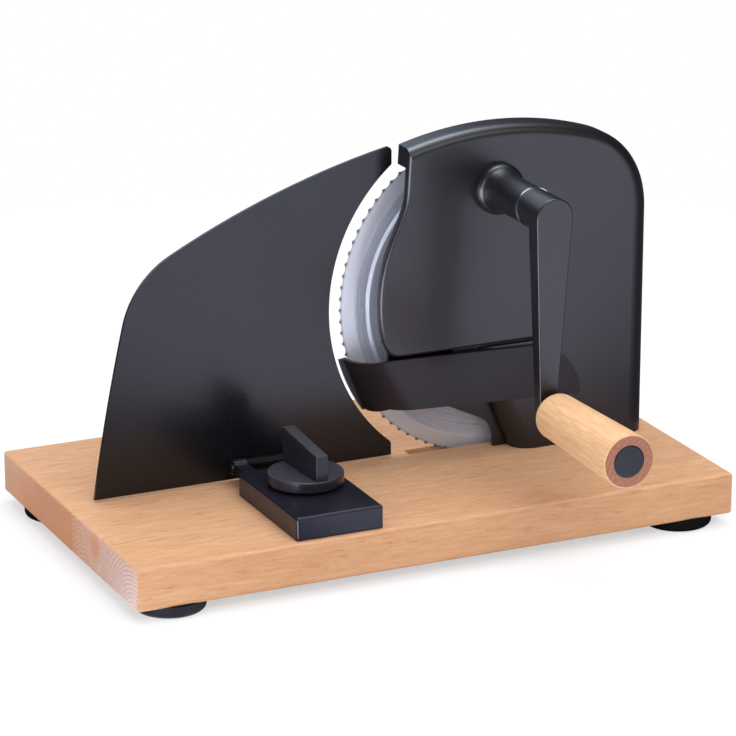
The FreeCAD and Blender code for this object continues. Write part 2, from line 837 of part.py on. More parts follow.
def make_main_frame():
    back_wall = slab("back_wall", outline("frame_outline", [
        ("arch_x", "0"), ("arch_x", "arch_rise"),
        ("arch_turn_x", "arch_turn", "arch_turn_radius"), ("arch_end_x", "arch_end"),
        ("frame_left_x", "arch_end + arch_end_radius", "-arch_end_radius"),
        ("frame_left_x", "lip_low"), ("lip_x + rim_inset", "rim_low"),
        ("lip_x + rim_inset", "lip_widest"), *left_side("rim_inset", "0"),
        *horn("0"), *crown("0"), ("side_x", "0")]), "cover_back", "housing_back")
    corner = "(leg_split_corner - slip)"
    rise = "(leg_top - lip_low + leg_split_corner)"
    leg_block = slab("leg_slab", outline("leg_outline", [
        ("leg_foot_x", "0"), ("leg_foot_x - leg_top * tan(leg_lean)", "leg_top"),
        (f"leg_split_x - leg_split_corner + sqrt({corner} * {corner} - {rise} * {rise})",
         "leg_top"),
        ("leg_split_x - slip", "lip_low - leg_split_corner", f"-{corner}"),
        ("leg_split_x - slip", "0")]),
        "housing_front", "cover_back")
    front_y = value("mid_y - housing_front")
    foot_x = value("leg_foot_x")

    def leaning_front(edge):
        middle = edge.CenterOfMass
        upright = abs(edge.tangentAt(edge.FirstParameter).z) > 0.8
        if upright and abs(middle.y - front_y) < SAME and middle.x < foot_x:
            return value("leg_edge")
        return None

    leg = fillet("leg_rounding", leg_block, leaning_front)
    drum = cylinder("well_drum", "well_radius + well_wall", "well_front - cover_back",
                    ("blade_x", "-cover_back", "blade_h"))
    band = box("well_band", ("blade_x - 2 * well_radius", "blade_x + 2 * well_radius"),
               ("-well_front", "-cover_back"), ("0", "rim_low"))
    foot = box("frame_foot", ("leg_split_x - overlap", "frame_foot_end_x"),
               ("-well_front", "-cover_back"), ("0", "frame_foot_height"))
    cavity = cylinder("well_cavity", "well_radius",
                      "well_front - well_front_wall - cover_back",
                      ("blade_x", "-cover_back", "blade_h"))
    shell = fuse("frame_shell", back_wall, leg, common("well", drum, band), foot)
    hollow = cut("frame_hollow", shell, cavity)
    blade_boss = cylinder("blade_boss", "blade_boss_radius", "bearing_front - bearing_back",
                          ("blade_x", "-bearing_back", "blade_h"))
    crank_boss = cylinder("crank_boss", "crank_boss_radius", "bearing_front - bearing_back",
                          ("crank_x", "-bearing_back", "crank_h"))
    holes = [
        cylinder("blade_bush_bore", "blade_bush_radius + slip", "cover_inside",
                 ("blade_x", "0", "blade_h")),
        cylinder("crank_bush_bore", "crank_bush_radius + slip", "cover_inside",
                 ("crank_x", "0", "crank_h")),
    ]
    for number, (x, y) in enumerate(FRAME_SCREWS):
        holes.append(cylinder(f"frame_thread_{number}", "frame_screw_radius + slip",
                              "frame_screw_grip + thread_room", (x, y, "0"), "up"))
    for number, (x, h) in enumerate(COVER_SCREWS):
        holes.append(cylinder(f"cover_passage_{number}", "cover_screw_radius + slip",
                              "cover_back", (x, "0", h)))
    for number, (x, h) in enumerate(STRIP_SCREWS):
        holes.append(cylinder(f"strip_thread_{number}", "strip_screw_radius + slip",
                              "strip_screw_grip + thread_room", (x, "-housing_front", h), "back"))
    whole = fuse("frame_whole", hollow, blade_boss, crank_boss)
    keep(cut("frame_drilled", whole, *holes), "main_frame")


def make_frame_screws():
    screws = [screw(f"frame_screw_{number}", (x, y, "board_low + frame_screw_sink"), "up",
                    "frame_screw_radius", "board_thickness - frame_screw_sink + frame_screw_grip",
                    "frame_screw_head", "frame_screw_head_height")
              for number, (x, y) in enumerate(FRAME_SCREWS)]
    keep(group("frame_screw_group", *screws), "frame_screws")


def make_gear_cover():
    panel = slab("cover_panel", outline("panel_outline", [
        ("leg_split_x", "0"), ("leg_split_x", "lip_low - leg_split_corner"),
        ("leg_split_x - leg_split_corner", "lip_low", "leg_split_corner"),
        *lower_corner("0", "0", "lip_low"), *left_side("0", "0"),
        *crown("0"), ("side_x", "0")]), "housing_front", "cover_inside")
    lip = slab("cover_lip", outline("lip_outline", [
        ("leg_split_x", "0"), ("leg_split_x", "rim_low"),
        *lower_corner("0", "0", "rim_low"), *left_side("0", "0"),
        *crown("0"), ("side_x", "0")]), "cover_inside", "lip_back")
    rim = slab("cover_rim", outline("rim_outline", [
        ("leg_split_x", "0"), ("leg_split_x", "rim_low"),
        *lower_corner("rim_inset", "0", "rim_low"), *left_side("rim_inset", "0"),
        *horn("0"), *crown("0"), ("side_x", "0")]), "cover_inside", "cover_back")
    inside = slab("cover_inside_slab", outline("inside_outline", [
        ("leg_split_x + cover_wall", "-overlap"),
        ("leg_split_x + cover_wall", "rim_low + cover_wall"),
        *lower_corner("rim_inset", "cover_wall", "rim_low"),
        *left_side("rim_inset", "cover_wall"),
        *horn("cover_wall"), *crown("cover_wall"), ("side_x - cover_wall", "-overlap")]),
        "cover_inside", "cover_back")
    front_y = value("mid_y - housing_front")
    inner_y = value("mid_y - cover_inside")
    shoulder_h = value("board_top + crown_centre + shoulder_rise")
    crown_end_h = value("board_top + horn_low")
    side = value("side_x")

    def outside_edges(edge):
        middle = edge.CenterOfMass
        ends = [vertex.Point for vertex in edge.Vertexes]
        if abs(middle.y - front_y) > SAME or abs(ends[0].y - ends[-1].y) > SAME:
            return None
        return edge_radii(middle, ends, "0")

    def inside_edges(edge):
        middle = edge.CenterOfMass
        ends = [vertex.Point for vertex in edge.Vertexes]
        if abs(middle.y - inner_y) > SAME or abs(ends[0].y - ends[-1].y) > SAME:
            return None
        return edge_radii(middle, ends, "cover_wall")

    def edge_radii(middle, ends, inset):
        """The crown's rounding grows along the shoulder into the side's larger one."""
        crown_edge = value(f"cover_crown_edge - {inset}")
        side_edge = value(f"cover_side_edge - {inset}")
        if abs(middle.x - side) < value("cover_wall") + SAME:
            return side_edge
        if middle.z > shoulder_h and middle.x > value("side_x - shoulder_radius"):
            rising = ends[0].z < ends[-1].z
            return (side_edge, crown_edge) if rising else (crown_edge, side_edge)
        if middle.z > crown_end_h and abs(ends[0].x - ends[-1].x) > value("shoulder_radius"):
            return crown_edge
        if inset == "0" and middle.x < value("leg_split_x - overlap"):
            return value("cover_lip_edge")
        return None

    shell = fillet("cover_rounding", fuse("cover_solid", panel, lip, rim), outside_edges)
    hollow = fillet("inside_rounding", inside, inside_edges)
    well_clearance = cylinder("well_clearance", "well_radius + well_wall + gap",
                              "cover_inside - cover_back",
                              ("blade_x", "-cover_back", "blade_h"))
    spigot_hole = cylinder("spigot_hole", "sleeve_spigot + slip", "housing_front",
                           ("crank_x", "-cover_back", "crank_h"))
    foot_passage = box("foot_passage", ("leg_split_x - overlap", "leg_split_x + 2 * cover_wall"),
                       ("-cover_inside", "-cover_back"), ("-overlap", "frame_foot_height + gap"))
    bosses = [cylinder(f"cover_boss_{number}", "cover_boss_radius",
                       "cover_inside - cover_back + slip", (x, "-cover_back", h))
              for number, (x, h) in enumerate(COVER_SCREWS)]
    threads = [cylinder(f"cover_thread_{number}", "cover_screw_radius + slip",
                        "cover_screw_grip + thread_room", (x, "-cover_back", h))
               for number, (x, h) in enumerate(COVER_SCREWS)]
    opened = cut("cover_hollow", shell, hollow, well_clearance, spigot_hole, foot_passage)
    keep(cut("cover_drilled", fuse("cover_bossed", opened, *bosses), *threads), "gear_cover")


def make_cover_screws():
    screws = [screw(f"cover_screw_{number}", (x, "-housing_back", h), "front",
                    "cover_screw_radius", "frame_wall + cover_screw_grip",
                    "cover_screw_head", "cover_screw_head_height")
              for number, (x, h) in enumerate(COVER_SCREWS)]
    keep(group("cover_screw_group", *screws), "cover_screws")


def make_bearings():
    """The flared sleeve that carries the crank's front end, and three plain bushes."""
    length = "(sleeve_front - housing_front)"
    pocket_radius = "crank_bush_radius + slip"
    bore = "crank_shaft_radius + slip * 5"
    neck_radius = "(sleeve_radius + sleeve_flare) / 2"
    neck = "sleeve_flare_rim + (sleeve_flare_end - sleeve_flare_rim) * sleeve_flare_share"
    sleeve = turned("sleeve_body", ("crank_x", "-housing_front", "crank_h"), "front", [
        (bore, "-cover_wall"), ("sleeve_spigot", "-cover_wall"), ("sleeve_spigot", "0"),
        ("sleeve_flare", "0"), ("sleeve_flare", "sleeve_flare_rim"),
        (neck_radius, neck, "sleeve_flare_bulge"),
        ("sleeve_radius", "sleeve_flare_end", "-sleeve_flare_hollow"),
        ("sleeve_radius", length), (pocket_radius, length),
        (pocket_radius, f"{length} - sleeve_bush_length"),
        (bore, f"{length} - sleeve_bush_length")])
    keep(sleeve, "crank_sleeve")
    running_bore = "crank_shaft_radius + running"
    keep(tube("sleeve_bush_body", "crank_bush_radius", running_bore, "sleeve_bush_length",
              ("crank_x", "-sleeve_front + sleeve_bush_length", "crank_h")), "sleeve_bush")
    keep(tube("crank_bush_body", "crank_bush_radius", running_bore,
              "bearing_front - bearing_back", ("crank_x", "-bearing_back", "crank_h")),
         "crank_bush")
    keep(tube("blade_bush_body", "blade_bush_radius", "spindle_radius + running",
              "bearing_front - bearing_back", ("blade_x", "-bearing_back", "blade_h")),
         "blade_bush")


def make_deflector():
    """A strip bent back at its left end round a leaning axis, with a lip along the plate."""
    section = doc.addObject("Sketcher::SketchObject", "strip_section")
    section.Placement.Rotation = Rotation(Vector(0, 1, 0), -value("strip_lean"))
    seat(section)
    outer, inner = "-strip_front", "-housing_front"
    lip_front, lip_back = "strip_bend - strip_front", "strip_bend - housing_front"
    far = "strip_corner_x + 2 * strip_corner_radius"
    outer_end = "strip_bend_start - strip_bend"
    inner_end = f"{outer_end} + strip_thickness"
    draw(section, [
        (far, outer), ("strip_bend_start", outer), (outer_end, lip_front, "-strip_bend"),
        (f"{outer_end} - strip_lip", lip_front), (f"{outer_end} - strip_lip", lip_back),
        (inner_end, lip_back), (inner_end, lip_front),
        ("strip_bend_start", inner, "strip_bend - strip_thickness"), (far, inner)])
    bent = doc.addObject("Part::Extrusion", "strip_bent")
    bent.Base = section
    bent.DirMode = "Normal"
    bent.Solid = True
    bent.setExpression("LengthFwd", bind("strip_top * 1.5"))
    bent.setExpression("LengthRev", bind("strip_top"))
    shadow = slab("strip_shadow", outline("strip_outline", [
        ("strip_end_low_x", "strip_end_low"),
        ("strip_end_top_x", "strip_end_top", "-strip_end_radius"),
        ("strip_top_x", "strip_top"),
        ("strip_corner_x", "strip_corner_h + strip_corner_radius"),
        ("strip_corner_x + strip_corner_radius", "strip_corner_h", "-strip_corner_radius"),
        ("strip_low_x", "strip_low")]), "strip_front + overlap", "-strip_front")
    holes = [cylinder(f"strip_hole_{number}", "strip_screw_radius + slip", "strip_front",
                      (x, "-cover_back", h)) for number, (x, h) in enumerate(STRIP_SCREWS)]
    keep(cut("strip_drilled", common("strip_trimmed", bent, shadow), *holes), "deflector")
    screws = [screw(f"strip_screw_{number}", (x, "-strip_front", h), "back",
                    "strip_screw_radius", "strip_thickness + strip_screw_grip",
                    "strip_screw_head", "strip_screw_head_height")
              for number, (x, h) in enumerate(STRIP_SCREWS)]
    keep(group("strip_screw_group", *screws), "deflector_screws")


# Gear train, crank and handle

def keyed_gear(label, teeth, shaft_radius, x, h, turn):
    """A gear on its shaft with its key; the key's slot is cut in the gear's bore."""
    solid = gear(value("gear_module"), round(value(teeth)), value("gear_width"),
                 value(f"{shaft_radius} + slip"), value("gear_backlash"), turn)
    wheel = shaped(label + "_blank", solid, "front", (x, "-gear_back", h))
    half = "key_width / 2"
    low = f"{h} + {shaft_radius} - key_sunk"
    slot = box(label + "_slot", (f"{x} - {half} - slip", f"{x} + {half} + slip"),
               ("-gear_front", "-gear_back"), (h, f"{low} + key_height + slip"))
    keep(cut(label + "_cut", wheel, slot), label)
    return box(label + "_key", (f"{x} - {half}", f"{x} + {half}"),
               ("-gear_front", "-gear_back"), (low, f"{low} + key_height"))


def key_seat(name, shaft_radius, x, h):
    """The slot for a gear's key in its shaft."""
    half = "(key_width / 2 + slip)"
    return box(name, (f"{x} - {half}", f"{x} + {half}"), ("-gear_front", "-gear_back"),
               (f"{h} + {shaft_radius} - key_sunk - slip", f"{h} + {shaft_radius} + overlap"))


def clip(label, shaft_radius, at, toward):
    """An open retaining ring in a shaft's groove."""
    ring = tube(label + "_ring", f"{shaft_radius} + clip_rim",
                f"{shaft_radius} - clip_depth + running", "clip_width - slip", at, toward)
    x, y, h = at
    reach = f"{shaft_radius} + 2 * clip_rim"
    half = f"{shaft_radius} / 2"
    if toward == "front":
        mouth = box(label + "_mouth", (f"{x} - {half}", f"{x} + {half}"),
                    (f"{y} - clip_width", y), (f"{h} - ({reach})", h))
    else:
        mouth = box(label + "_mouth", (x, f"{x} + {reach}"),
                    (f"{y} - {half}", f"{y} + {half}"), (f"{h} - clip_width", h))
    keep(cut(label + "_open", ring, mouth), label)


def shaft_profile(radius, back, front):
    """A shaft along the way to the front, with the groove for its gear's clip."""
    groove = f"{radius} - clip_depth"
    return [("0", back), (radius, back), (radius, "gear_front"), (groove, "gear_front"),
            (groove, "gear_front + clip_width"), (radius, "gear_front + clip_width"),
            (radius, front), ("0", front)]


def make_gears():
    line = math.atan2(value("blade_h - crank_h"), value("blade_offset_x"))
    drive_key = keyed_gear("drive_gear", "drive_teeth", "crank_shaft_radius",
                           "crank_x", "crank_h", line)
    keep(drive_key, "drive_key")
    gap_turn = line + math.pi + math.pi / value("blade_gear_teeth")
    blade_key = keyed_gear("blade_gear", "blade_gear_teeth", "spindle_radius",
                           "blade_x", "blade_h", gap_turn)
    keep(blade_key, "blade_key")
    clip("drive_clip", "crank_shaft_radius", ("crank_x", "-gear_front", "crank_h"), "front")
    clip("blade_clip", "spindle_radius", ("blade_x", "-gear_front", "blade_h"), "front")


def make_crank():
    shaft_end = "arm_front - arm_edge - cover_wall"
    shaft = turned("crank_shaft_body", ("crank_x", "0", "crank_h"), "front",
                   shaft_profile("crank_shaft_radius", "bearing_back", shaft_end))
    keep(cut("crank_shaft_keyed", shaft, key_seat("crank_key_seat", "crank_shaft_radius",
                                                  "crank_x", "crank_h")), "crank_shaft")
    keep(tube("crank_ring_body", "ring_radius", "crank_shaft_radius + slip", "ring_width",
              ("crank_x", "-ring_back", "crank_h")), "crank_ring")
    arm = body("arm_body", ("crank_x", "-arm_front", "crank_h"))
    front_view = sketch_on(arm, "XZ_Plane", "arm_outline", [
        ("-arm_left_low", "-arm_taper_drop"),
        ("-arm_half_top", "0"), ("0", "arm_half_top", "-arm_half_top"),
        ("arm_half_top", "0", "-arm_half_top"),
        ("arm_right_low", "-arm_taper_drop"),
        ("arm_end_radius * cos(arm_end_turn)",
         "arm_end_radius * sin(arm_end_turn) - crank_radius"),
        ("0", "-crank_radius - arm_end_radius", "-arm_end_radius"),
        ("-arm_end_radius", "-crank_radius", "-arm_end_radius")])
    pad(arm, front_view, "arm_pad", "arm_thick_top", reverse=True)
    wedge = sketch_on(arm, "YZ_Plane", "arm_wedge", [
        ("arm_thick_top", "-arm_taper_start"), ("arm_thick_top + overlap", "-arm_taper_start"),
        ("arm_thick_top + overlap", "-crank_radius - 2 * arm_end_radius"),
        ("arm_thick_low", "-crank_radius - 2 * arm_end_radius"),
        ("arm_thick_low", "-arm_taper_drop")])
    taper = pocket(arm, wedge, "arm_taper", "arm_thick_top * 4")
    taper.SideType = "Symmetric"
    front_y = value("mid_y - arm_front")

    def front_edges(edge):
        box_of = edge.BoundBox
        return value("arm_edge") if abs(box_of.YMax - front_y) < SAME else None

    soft = fillet("arm_rounding", arm, front_edges)
    hub = cylinder("arm_hub", "sleeve_radius", "arm_front - hub_back - arm_thick_top",
                   ("crank_x", "-hub_back", "crank_h"))
    holes = [
        cylinder("arm_bore", "crank_shaft_radius + slip", f"{shaft_end} - hub_back + slip",
                 ("crank_x", "-hub_back", "crank_h")),
        cylinder("arm_pin_bore", "pin_radius + slip", "arm_thick_top * 2",
                 ("crank_x", "-arm_front + arm_thick_top", "handle_h")),
        cylinder("set_screw_bore", "set_screw_radius + slip", "sleeve_radius",
                 ("crank_x", SET_SCREW_Y, "crank_h"), "down"),
    ]
    keep(cut("arm_drilled", fuse("arm_whole", soft, hub), *holes), "crank_arm")
    reach = "sleeve_radius - crank_shaft_radius - slip - gap"
    plug = cylinder("set_screw_body", "set_screw_radius", reach,
                    ("crank_x", SET_SCREW_Y, "crank_h - crank_shaft_radius - slip"), "down")
    socket = cylinder("set_screw_socket", "set_screw_radius / 2", reach,
                      ("crank_x", SET_SCREW_Y, "crank_h - crank_shaft_radius - slip - set_screw_socket"),
                      "down")
    keep(cut("set_screw_cut", plug, socket), "arm_set_screw")


SET_SCREW_Y = "-(hub_back + arm_front - arm_thick_top) / 2"


def make_handle():
    head = "handle_front - handle_recess - arm_front + gap"
    tail = "-arm_thick_low - handle_nut_bore"
    keep(turned("handle_pin_body", ("crank_x", "-arm_front", "handle_h"), "front", [
        ("0", tail), ("pin_radius", tail), ("pin_radius", head), ("pin_head", head),
        ("pin_head", f"{head} + pin_head_height"), ("0", f"{head} + pin_head_height")]),
        "handle_pin")
    bore_end = "handle_nut_bore + slip"
    keep(turned("handle_nut_body", ("crank_x", "-arm_front + arm_thick_low", "handle_h"),
                "back", [
        ("pin_radius + slip", "0"), ("handle_nut_radius", "0"),
        ("handle_nut_radius", "handle_nut_height - handle_nut_round"),
        ("handle_nut_radius - handle_nut_round", "handle_nut_height", "handle_nut_round"),
        ("0", "handle_nut_height"), ("0", bore_end), ("pin_radius + slip", bore_end)]),
        "handle_nut")
    keep(tube("handle_washer_body", "handle_washer_radius", "pin_radius + slip",
              "handle_start - arm_front - gap", ("crank_x", "-arm_front", "handle_h")),
         "handle_washer")
    long = "(handle_front - handle_start)"
    bore = "pin_radius + running"
    recess = "handle_cap_radius + slip / 2"
    keep(turned("grip_body", ("crank_x", "-handle_start", "handle_h"), "front", [
        (bore, "0"), ("handle_back_radius - handle_round", "0"),
        ("handle_back_radius", "handle_round", "handle_round"),
        ("handle_radius", f"{long} - handle_chamfer"),
        ("handle_radius - handle_chamfer", long), (recess, long),
        (recess, f"{long} - handle_recess"), (bore, f"{long} - handle_recess")]),
        "handle_grip")
    top = "handle_cap_deep + handle_cap_proud"
    keep(turned("cap_body", ("crank_x", "-handle_front + handle_cap_deep", "handle_h"),
                "front", [
        ("0", "0"), ("handle_cap_radius", "0"),
        ("handle_cap_radius", f"{top} - handle_cap_bevel / 2"),
        ("handle_cap_radius - handle_cap_bevel", top), ("0", top)]), "handle_cap")


# Blade

def scalloped_disc():
    """The blade's outline, cut into scallops that meet in points, extruded through it."""
    count = round(value("scallop_count"))
    radius = value("blade_radius")
    deep = radius - value("scallop_deep")
    step = 2 * math.pi / count
    edges = []
    for number in range(count):
        angles = [(number + share) * step for share in (0, 0.5, 1)]
        first, middle, last = [
            Vector(reach * math.cos(angle), reach * math.sin(angle), 0)
            for reach, angle in zip((radius, deep, radius), angles)]
        edges.append(Part.Arc(first, middle, last).toShape())
    thick = value("blade_back - dish_face")
    return Part.Face(Part.Wire(edges)).extrude(Vector(0, 0, thick))


def around_blade(radius):
    """Places on a circle about the blade's axis for its three screws."""
    return [(f"blade_x + {radius} * cos({angle})", f"blade_h + {radius} * sin({angle})")
            for angle in (90, 210, 330)]


def make_blade():
    flat = "dish_radius + dish_slope"
    bore = "spindle_pilot + slip"
    axis = ("blade_x", "0", "blade_h")
    disc = turned("blade_disc", axis, "back", [
        (bore, "dish_face"), ("dish_radius", "dish_face"), (flat, "blade_face"),
        ("grind_radius", "blade_face"), ("blade_radius", "blade_back - edge_thickness"),
        ("blade_radius", "blade_back"), (flat, "blade_back"),
        ("dish_radius", "dish_face + blade_thickness"), (bore, "dish_face + blade_thickness")])
    rim = shaped("blade_scallops", scalloped_disc(), "back", ("blade_x", "dish_face", "blade_h"))
    places = around_blade("blade_screw_circle")
    hole = "blade_screw_radius + slip"

    def holes(name, radius, start, end):
        return [cylinder(f"{name}_{number}", radius, f"{end} - ({start})", (x, start, h), "back")
                for number, (x, h) in enumerate(places)]

    keep(cut("blade_drilled", common("blade_toothed", disc, rim),
             *holes("blade_hole", hole, "0", "blade_back")), "slicing_blade")
    spindle = turned("spindle_body", axis, "front", [
        *shaft_profile("spindle_radius", "flange_front", "spindle_end")[1:-1],
        ("0", "spindle_end"), ("0", "-blade_face"), ("spindle_pilot", "-blade_face"),
        ("spindle_pilot", "-dish_face"), ("spindle_flange", "-dish_face"),
        ("spindle_flange", "flange_front")])
    seat_cut = key_seat("spindle_key_seat", "spindle_radius", "blade_x", "blade_h")
    keep(cut("spindle_drilled", spindle, seat_cut,
             *holes("spindle_thread", hole, "-flange_front", "blade_face")), "blade_spindle")
    cap_face = "dish_face + blade_thickness"
    cap = turned("blade_cap_body", ("blade_x", cap_face, "blade_h"), "back", [
        ("0", "0"), ("spindle_flange", "0"), ("spindle_flange", "blade_dish - blade_cap_edge"),
        ("spindle_flange - blade_cap_edge", "blade_dish"), ("0", "blade_dish")])
    sinks, screws = [], []
    for number, (x, h) in enumerate(places):
        top = (x, "blade_back", h)
        sinks.append(cone(f"cap_sink_{number}", "blade_screw_head + slip", hole,
                          "blade_dish", top, "front"))
        head = cone(f"blade_screw_head_{number}", "blade_screw_head", "blade_screw_radius",
                    "blade_dish", top, "front")
        shank = cylinder(f"blade_screw_shank_{number}", "blade_screw_radius",
                         "blade_back + flange_front - slip", top, "front")
        slot = box(f"blade_screw_slot_{number}",
                   (f"{x} - blade_screw_head", f"{x} + blade_screw_head"),
                   ("blade_back - blade_slot_depth", "blade_back"),
                   (f"{h} - blade_slot_half", f"{h} + blade_slot_half"))
        screws.append(cut(f"blade_screw_{number}",
                          fuse(f"blade_screw_whole_{number}", head, shank), slot))
    keep(cut("cap_drilled", cap, *sinks), "blade_cap")
    keep(group("blade_screw_group", *screws), "blade_screws")


# Guide plate and thickness adjuster

def make_guide_plate():
    owner = body("plate_body", ("0", "plate_face + plate_thickness", "0"))
    reach = "(plate_tip_x - plate_arc_x)"
    heel_reach = "(plate_tip_x - plate_heel_back - plate_arc_x)"
    square = "plate_arc_radius * plate_arc_radius"
    sketch = sketch_on(owner, "XZ_Plane", "plate_outline", [
        ("plate_left_low_x", "plate_low"),
        ("plate_left_x", "plate_left_h", "-plate_left_radius"),
        ("plate_shoulder_x", "plate_shoulder_h", "-plate_shoulder_radius"),
        ("plate_tip_x - plate_tip_round", "plate_tip_h", "-plate_crown_radius"),
        ("plate_tip_x", "plate_tip_h - plate_tip_round", "-plate_tip_round"),
        ("plate_tip_x", f"plate_arc_h + sqrt({square} - {reach} * {reach})"),
        ("plate_tip_x - plate_heel_back",
         f"plate_arc_h - sqrt({square} - {heel_reach} * {heel_reach})", "plate_arc_radius"),
        ("plate_tip_x", f"plate_arc_h - sqrt({square} - {reach} * {reach}) - plate_heel_drop",
         "-plate_heel_radius"),
        ("plate_tip_x", "plate_low")])
    pad(owner, sketch, "plate_pad", "plate_thickness")
    keep(owner, "guide_plate")


def make_hinge_bar():
    """The bar between carriage and plate: the plate's bracket, and the pin through it."""
    start = ("bar_split_x + gap", "-bar_y", "bar_h")
    barrel = cylinder("bracket_barrel", "bar_radius", "bar_right_x - bar_split_x - gap",
                      start, "right")
    leaf = box("bracket_leaf_plate", ("bar_split_x + gap", "bar_right_x"),
               ("plate_face - bracket_leaf", "plate_face"),
               ("bracket_leaf_low", "bracket_leaf_top"))
    bore = cylinder("bracket_bore", "cross_pin_radius + slip",
                    "bar_right_x - bar_split_x", start, "right")
    keep(cut("bracket_drilled", fuse("bracket_whole", barrel, leaf), bore), "plate_bracket")
    length = "(box_right_x - bar_left_x)"
    pin = turned("cross_pin_body", ("bar_left_x", "-bar_y", "bar_h"), "right", [
        ("0", "-cross_pin_head_width"),
        ("cross_pin_head * 0.45", "-cross_pin_head_width"),
        ("cross_pin_head", "-cross_pin_head_width * 0.4", "cross_pin_head_width"),
        ("cross_pin_head", "0"), ("cross_pin_radius", "0"),
        ("cross_pin_radius", f"{length} - slip"), ("0", f"{length} - slip")])
    keep(pin, "cross_pin")


def make_carriage():
    block = box("carriage_block", ("box_left_x", "box_right_x"), ("-box_front", "-box_back"),
                ("gap", "box_height"))
    low_h = value("board_top + gap")
    back_y = value("mid_y - box_back")

    def outer_edges(edge):
        limits = edge.BoundBox
        if limits.ZMax < low_h + SAME:
            return None
        if limits.ZMin < low_h + SAME and limits.YMax > back_y - SAME:
            return value("box_back_corner")
        return value("box_edge")

    shell = fillet("carriage_rounding", block, outer_edges)
    room_y = ("-box_front + box_wall", "-box_back - box_wall")
    room = box("carriage_room", ("inside_left_x", "inside_right_x"), room_y,
               ("lip_top", "box_height - box_wall"))
    mouth = box("carriage_mouth", ("inside_left_x + box_lip", "inside_right_x - box_lip"),
                room_y, ("0", "box_height - box_wall"))
    hollow = cut("carriage_hollow", shell, room, mouth)
    ears = []
    for side, (left, right) in (("left", ("bar_left_x", "bar_split_x")),
                                ("right", ("bar_right_x + gap", "box_right_x"))):
        ears.append(cylinder(f"{side}_knuckle", "bar_radius", f"{right} - ({left})",
                             (left, "-bar_y", "bar_h"), "right"))
        ears.append(box(f"{side}_ear", (left, right), ("-box_back - box_wall / 2", "-bar_y"),
                        ("bar_h - bar_radius", "ear_top")))
    shaft_hole = cylinder("knob_shaft_hole", "knob_shaft_radius + running", "box_height",
                          ("knob_x", "-knob_y", "lip_top"), "up")
    pin_hole = cylinder("cross_pin_hole", "cross_pin_radius + slip",
                        "box_right_x - bar_left_x", ("bar_left_x", "-bar_y", "bar_h"), "right")
    keep(cut("carriage_drilled", fuse("carriage_whole", hollow, *ears), shaft_hole, pin_hole),
         "carriage_box")


def make_rails():
    """Two rails under the carriage's lips; the left one carries the rack."""
    length = value("rail_front - rail_back")
    head_x = "inside_left_x + slip"
    teeth = shaped("rack_teeth", rack(
        value("rack_module"), length, value("rail_top - rail_head_low"),
        value("rack_addendum"), value("rack_backlash"), value(f"rack_x - ({head_x})"),
        value("rail_front - knob_y")),
        "up", ("rack_x", "-rail_front", "rail_head_low"))
    along = ("-rail_front", "-rail_back")
    rack_root = "rack_x - 1.25 * rack_module"
    left_stem = box("slide_rail_stem", ("inside_left_x + box_lip + slip", rack_root), along,
                    ("0", "rail_head_low"))
    right_end = "inside_right_x - slip"
    inner_end = f"{right_end} - guide_rail_width"
    right_head = box("guide_rail_head", (inner_end, right_end), along,
                     ("rail_head_low", "rail_top"))
    right_stem = box("guide_rail_stem", (inner_end, f"{right_end} - box_lip"), along,
                     ("0", "rail_head_low"))
    rails = {"slide_rail": fuse("slide_rail_whole", teeth, left_stem),
             "guide_rail": fuse("guide_rail_whole", right_head, right_stem)}
    screws = []
    holes = {"slide_rail": [], "guide_rail": []}
    for number, (x, y) in enumerate(RAIL_SCREWS):
        owner = "slide_rail" if x == RAIL_X[0] else "guide_rail"
        holes[owner].append(cylinder(f"rail_hole_{number}", "rail_screw_radius + slip",
                                     "rail_top", (x, y, "0"), "up"))
        holes[owner].append(cylinder(f"rail_sink_{number}", "rail_screw_head + slip",
                                     "rail_screw_sink", (x, y, "rail_seat"), "up"))
        screws.append(screw(f"rail_screw_{number}", (x, y, "rail_seat"), "down",
                            "rail_screw_radius", "rail_seat + rail_screw_grip",
                            "rail_screw_head", "rail_screw_head_height"))
    for label, whole in rails.items():
        keep(cut(label + "_drilled", whole, *holes[label]), label)
    keep(group("rail_screw_group", *screws), "rail_screws")


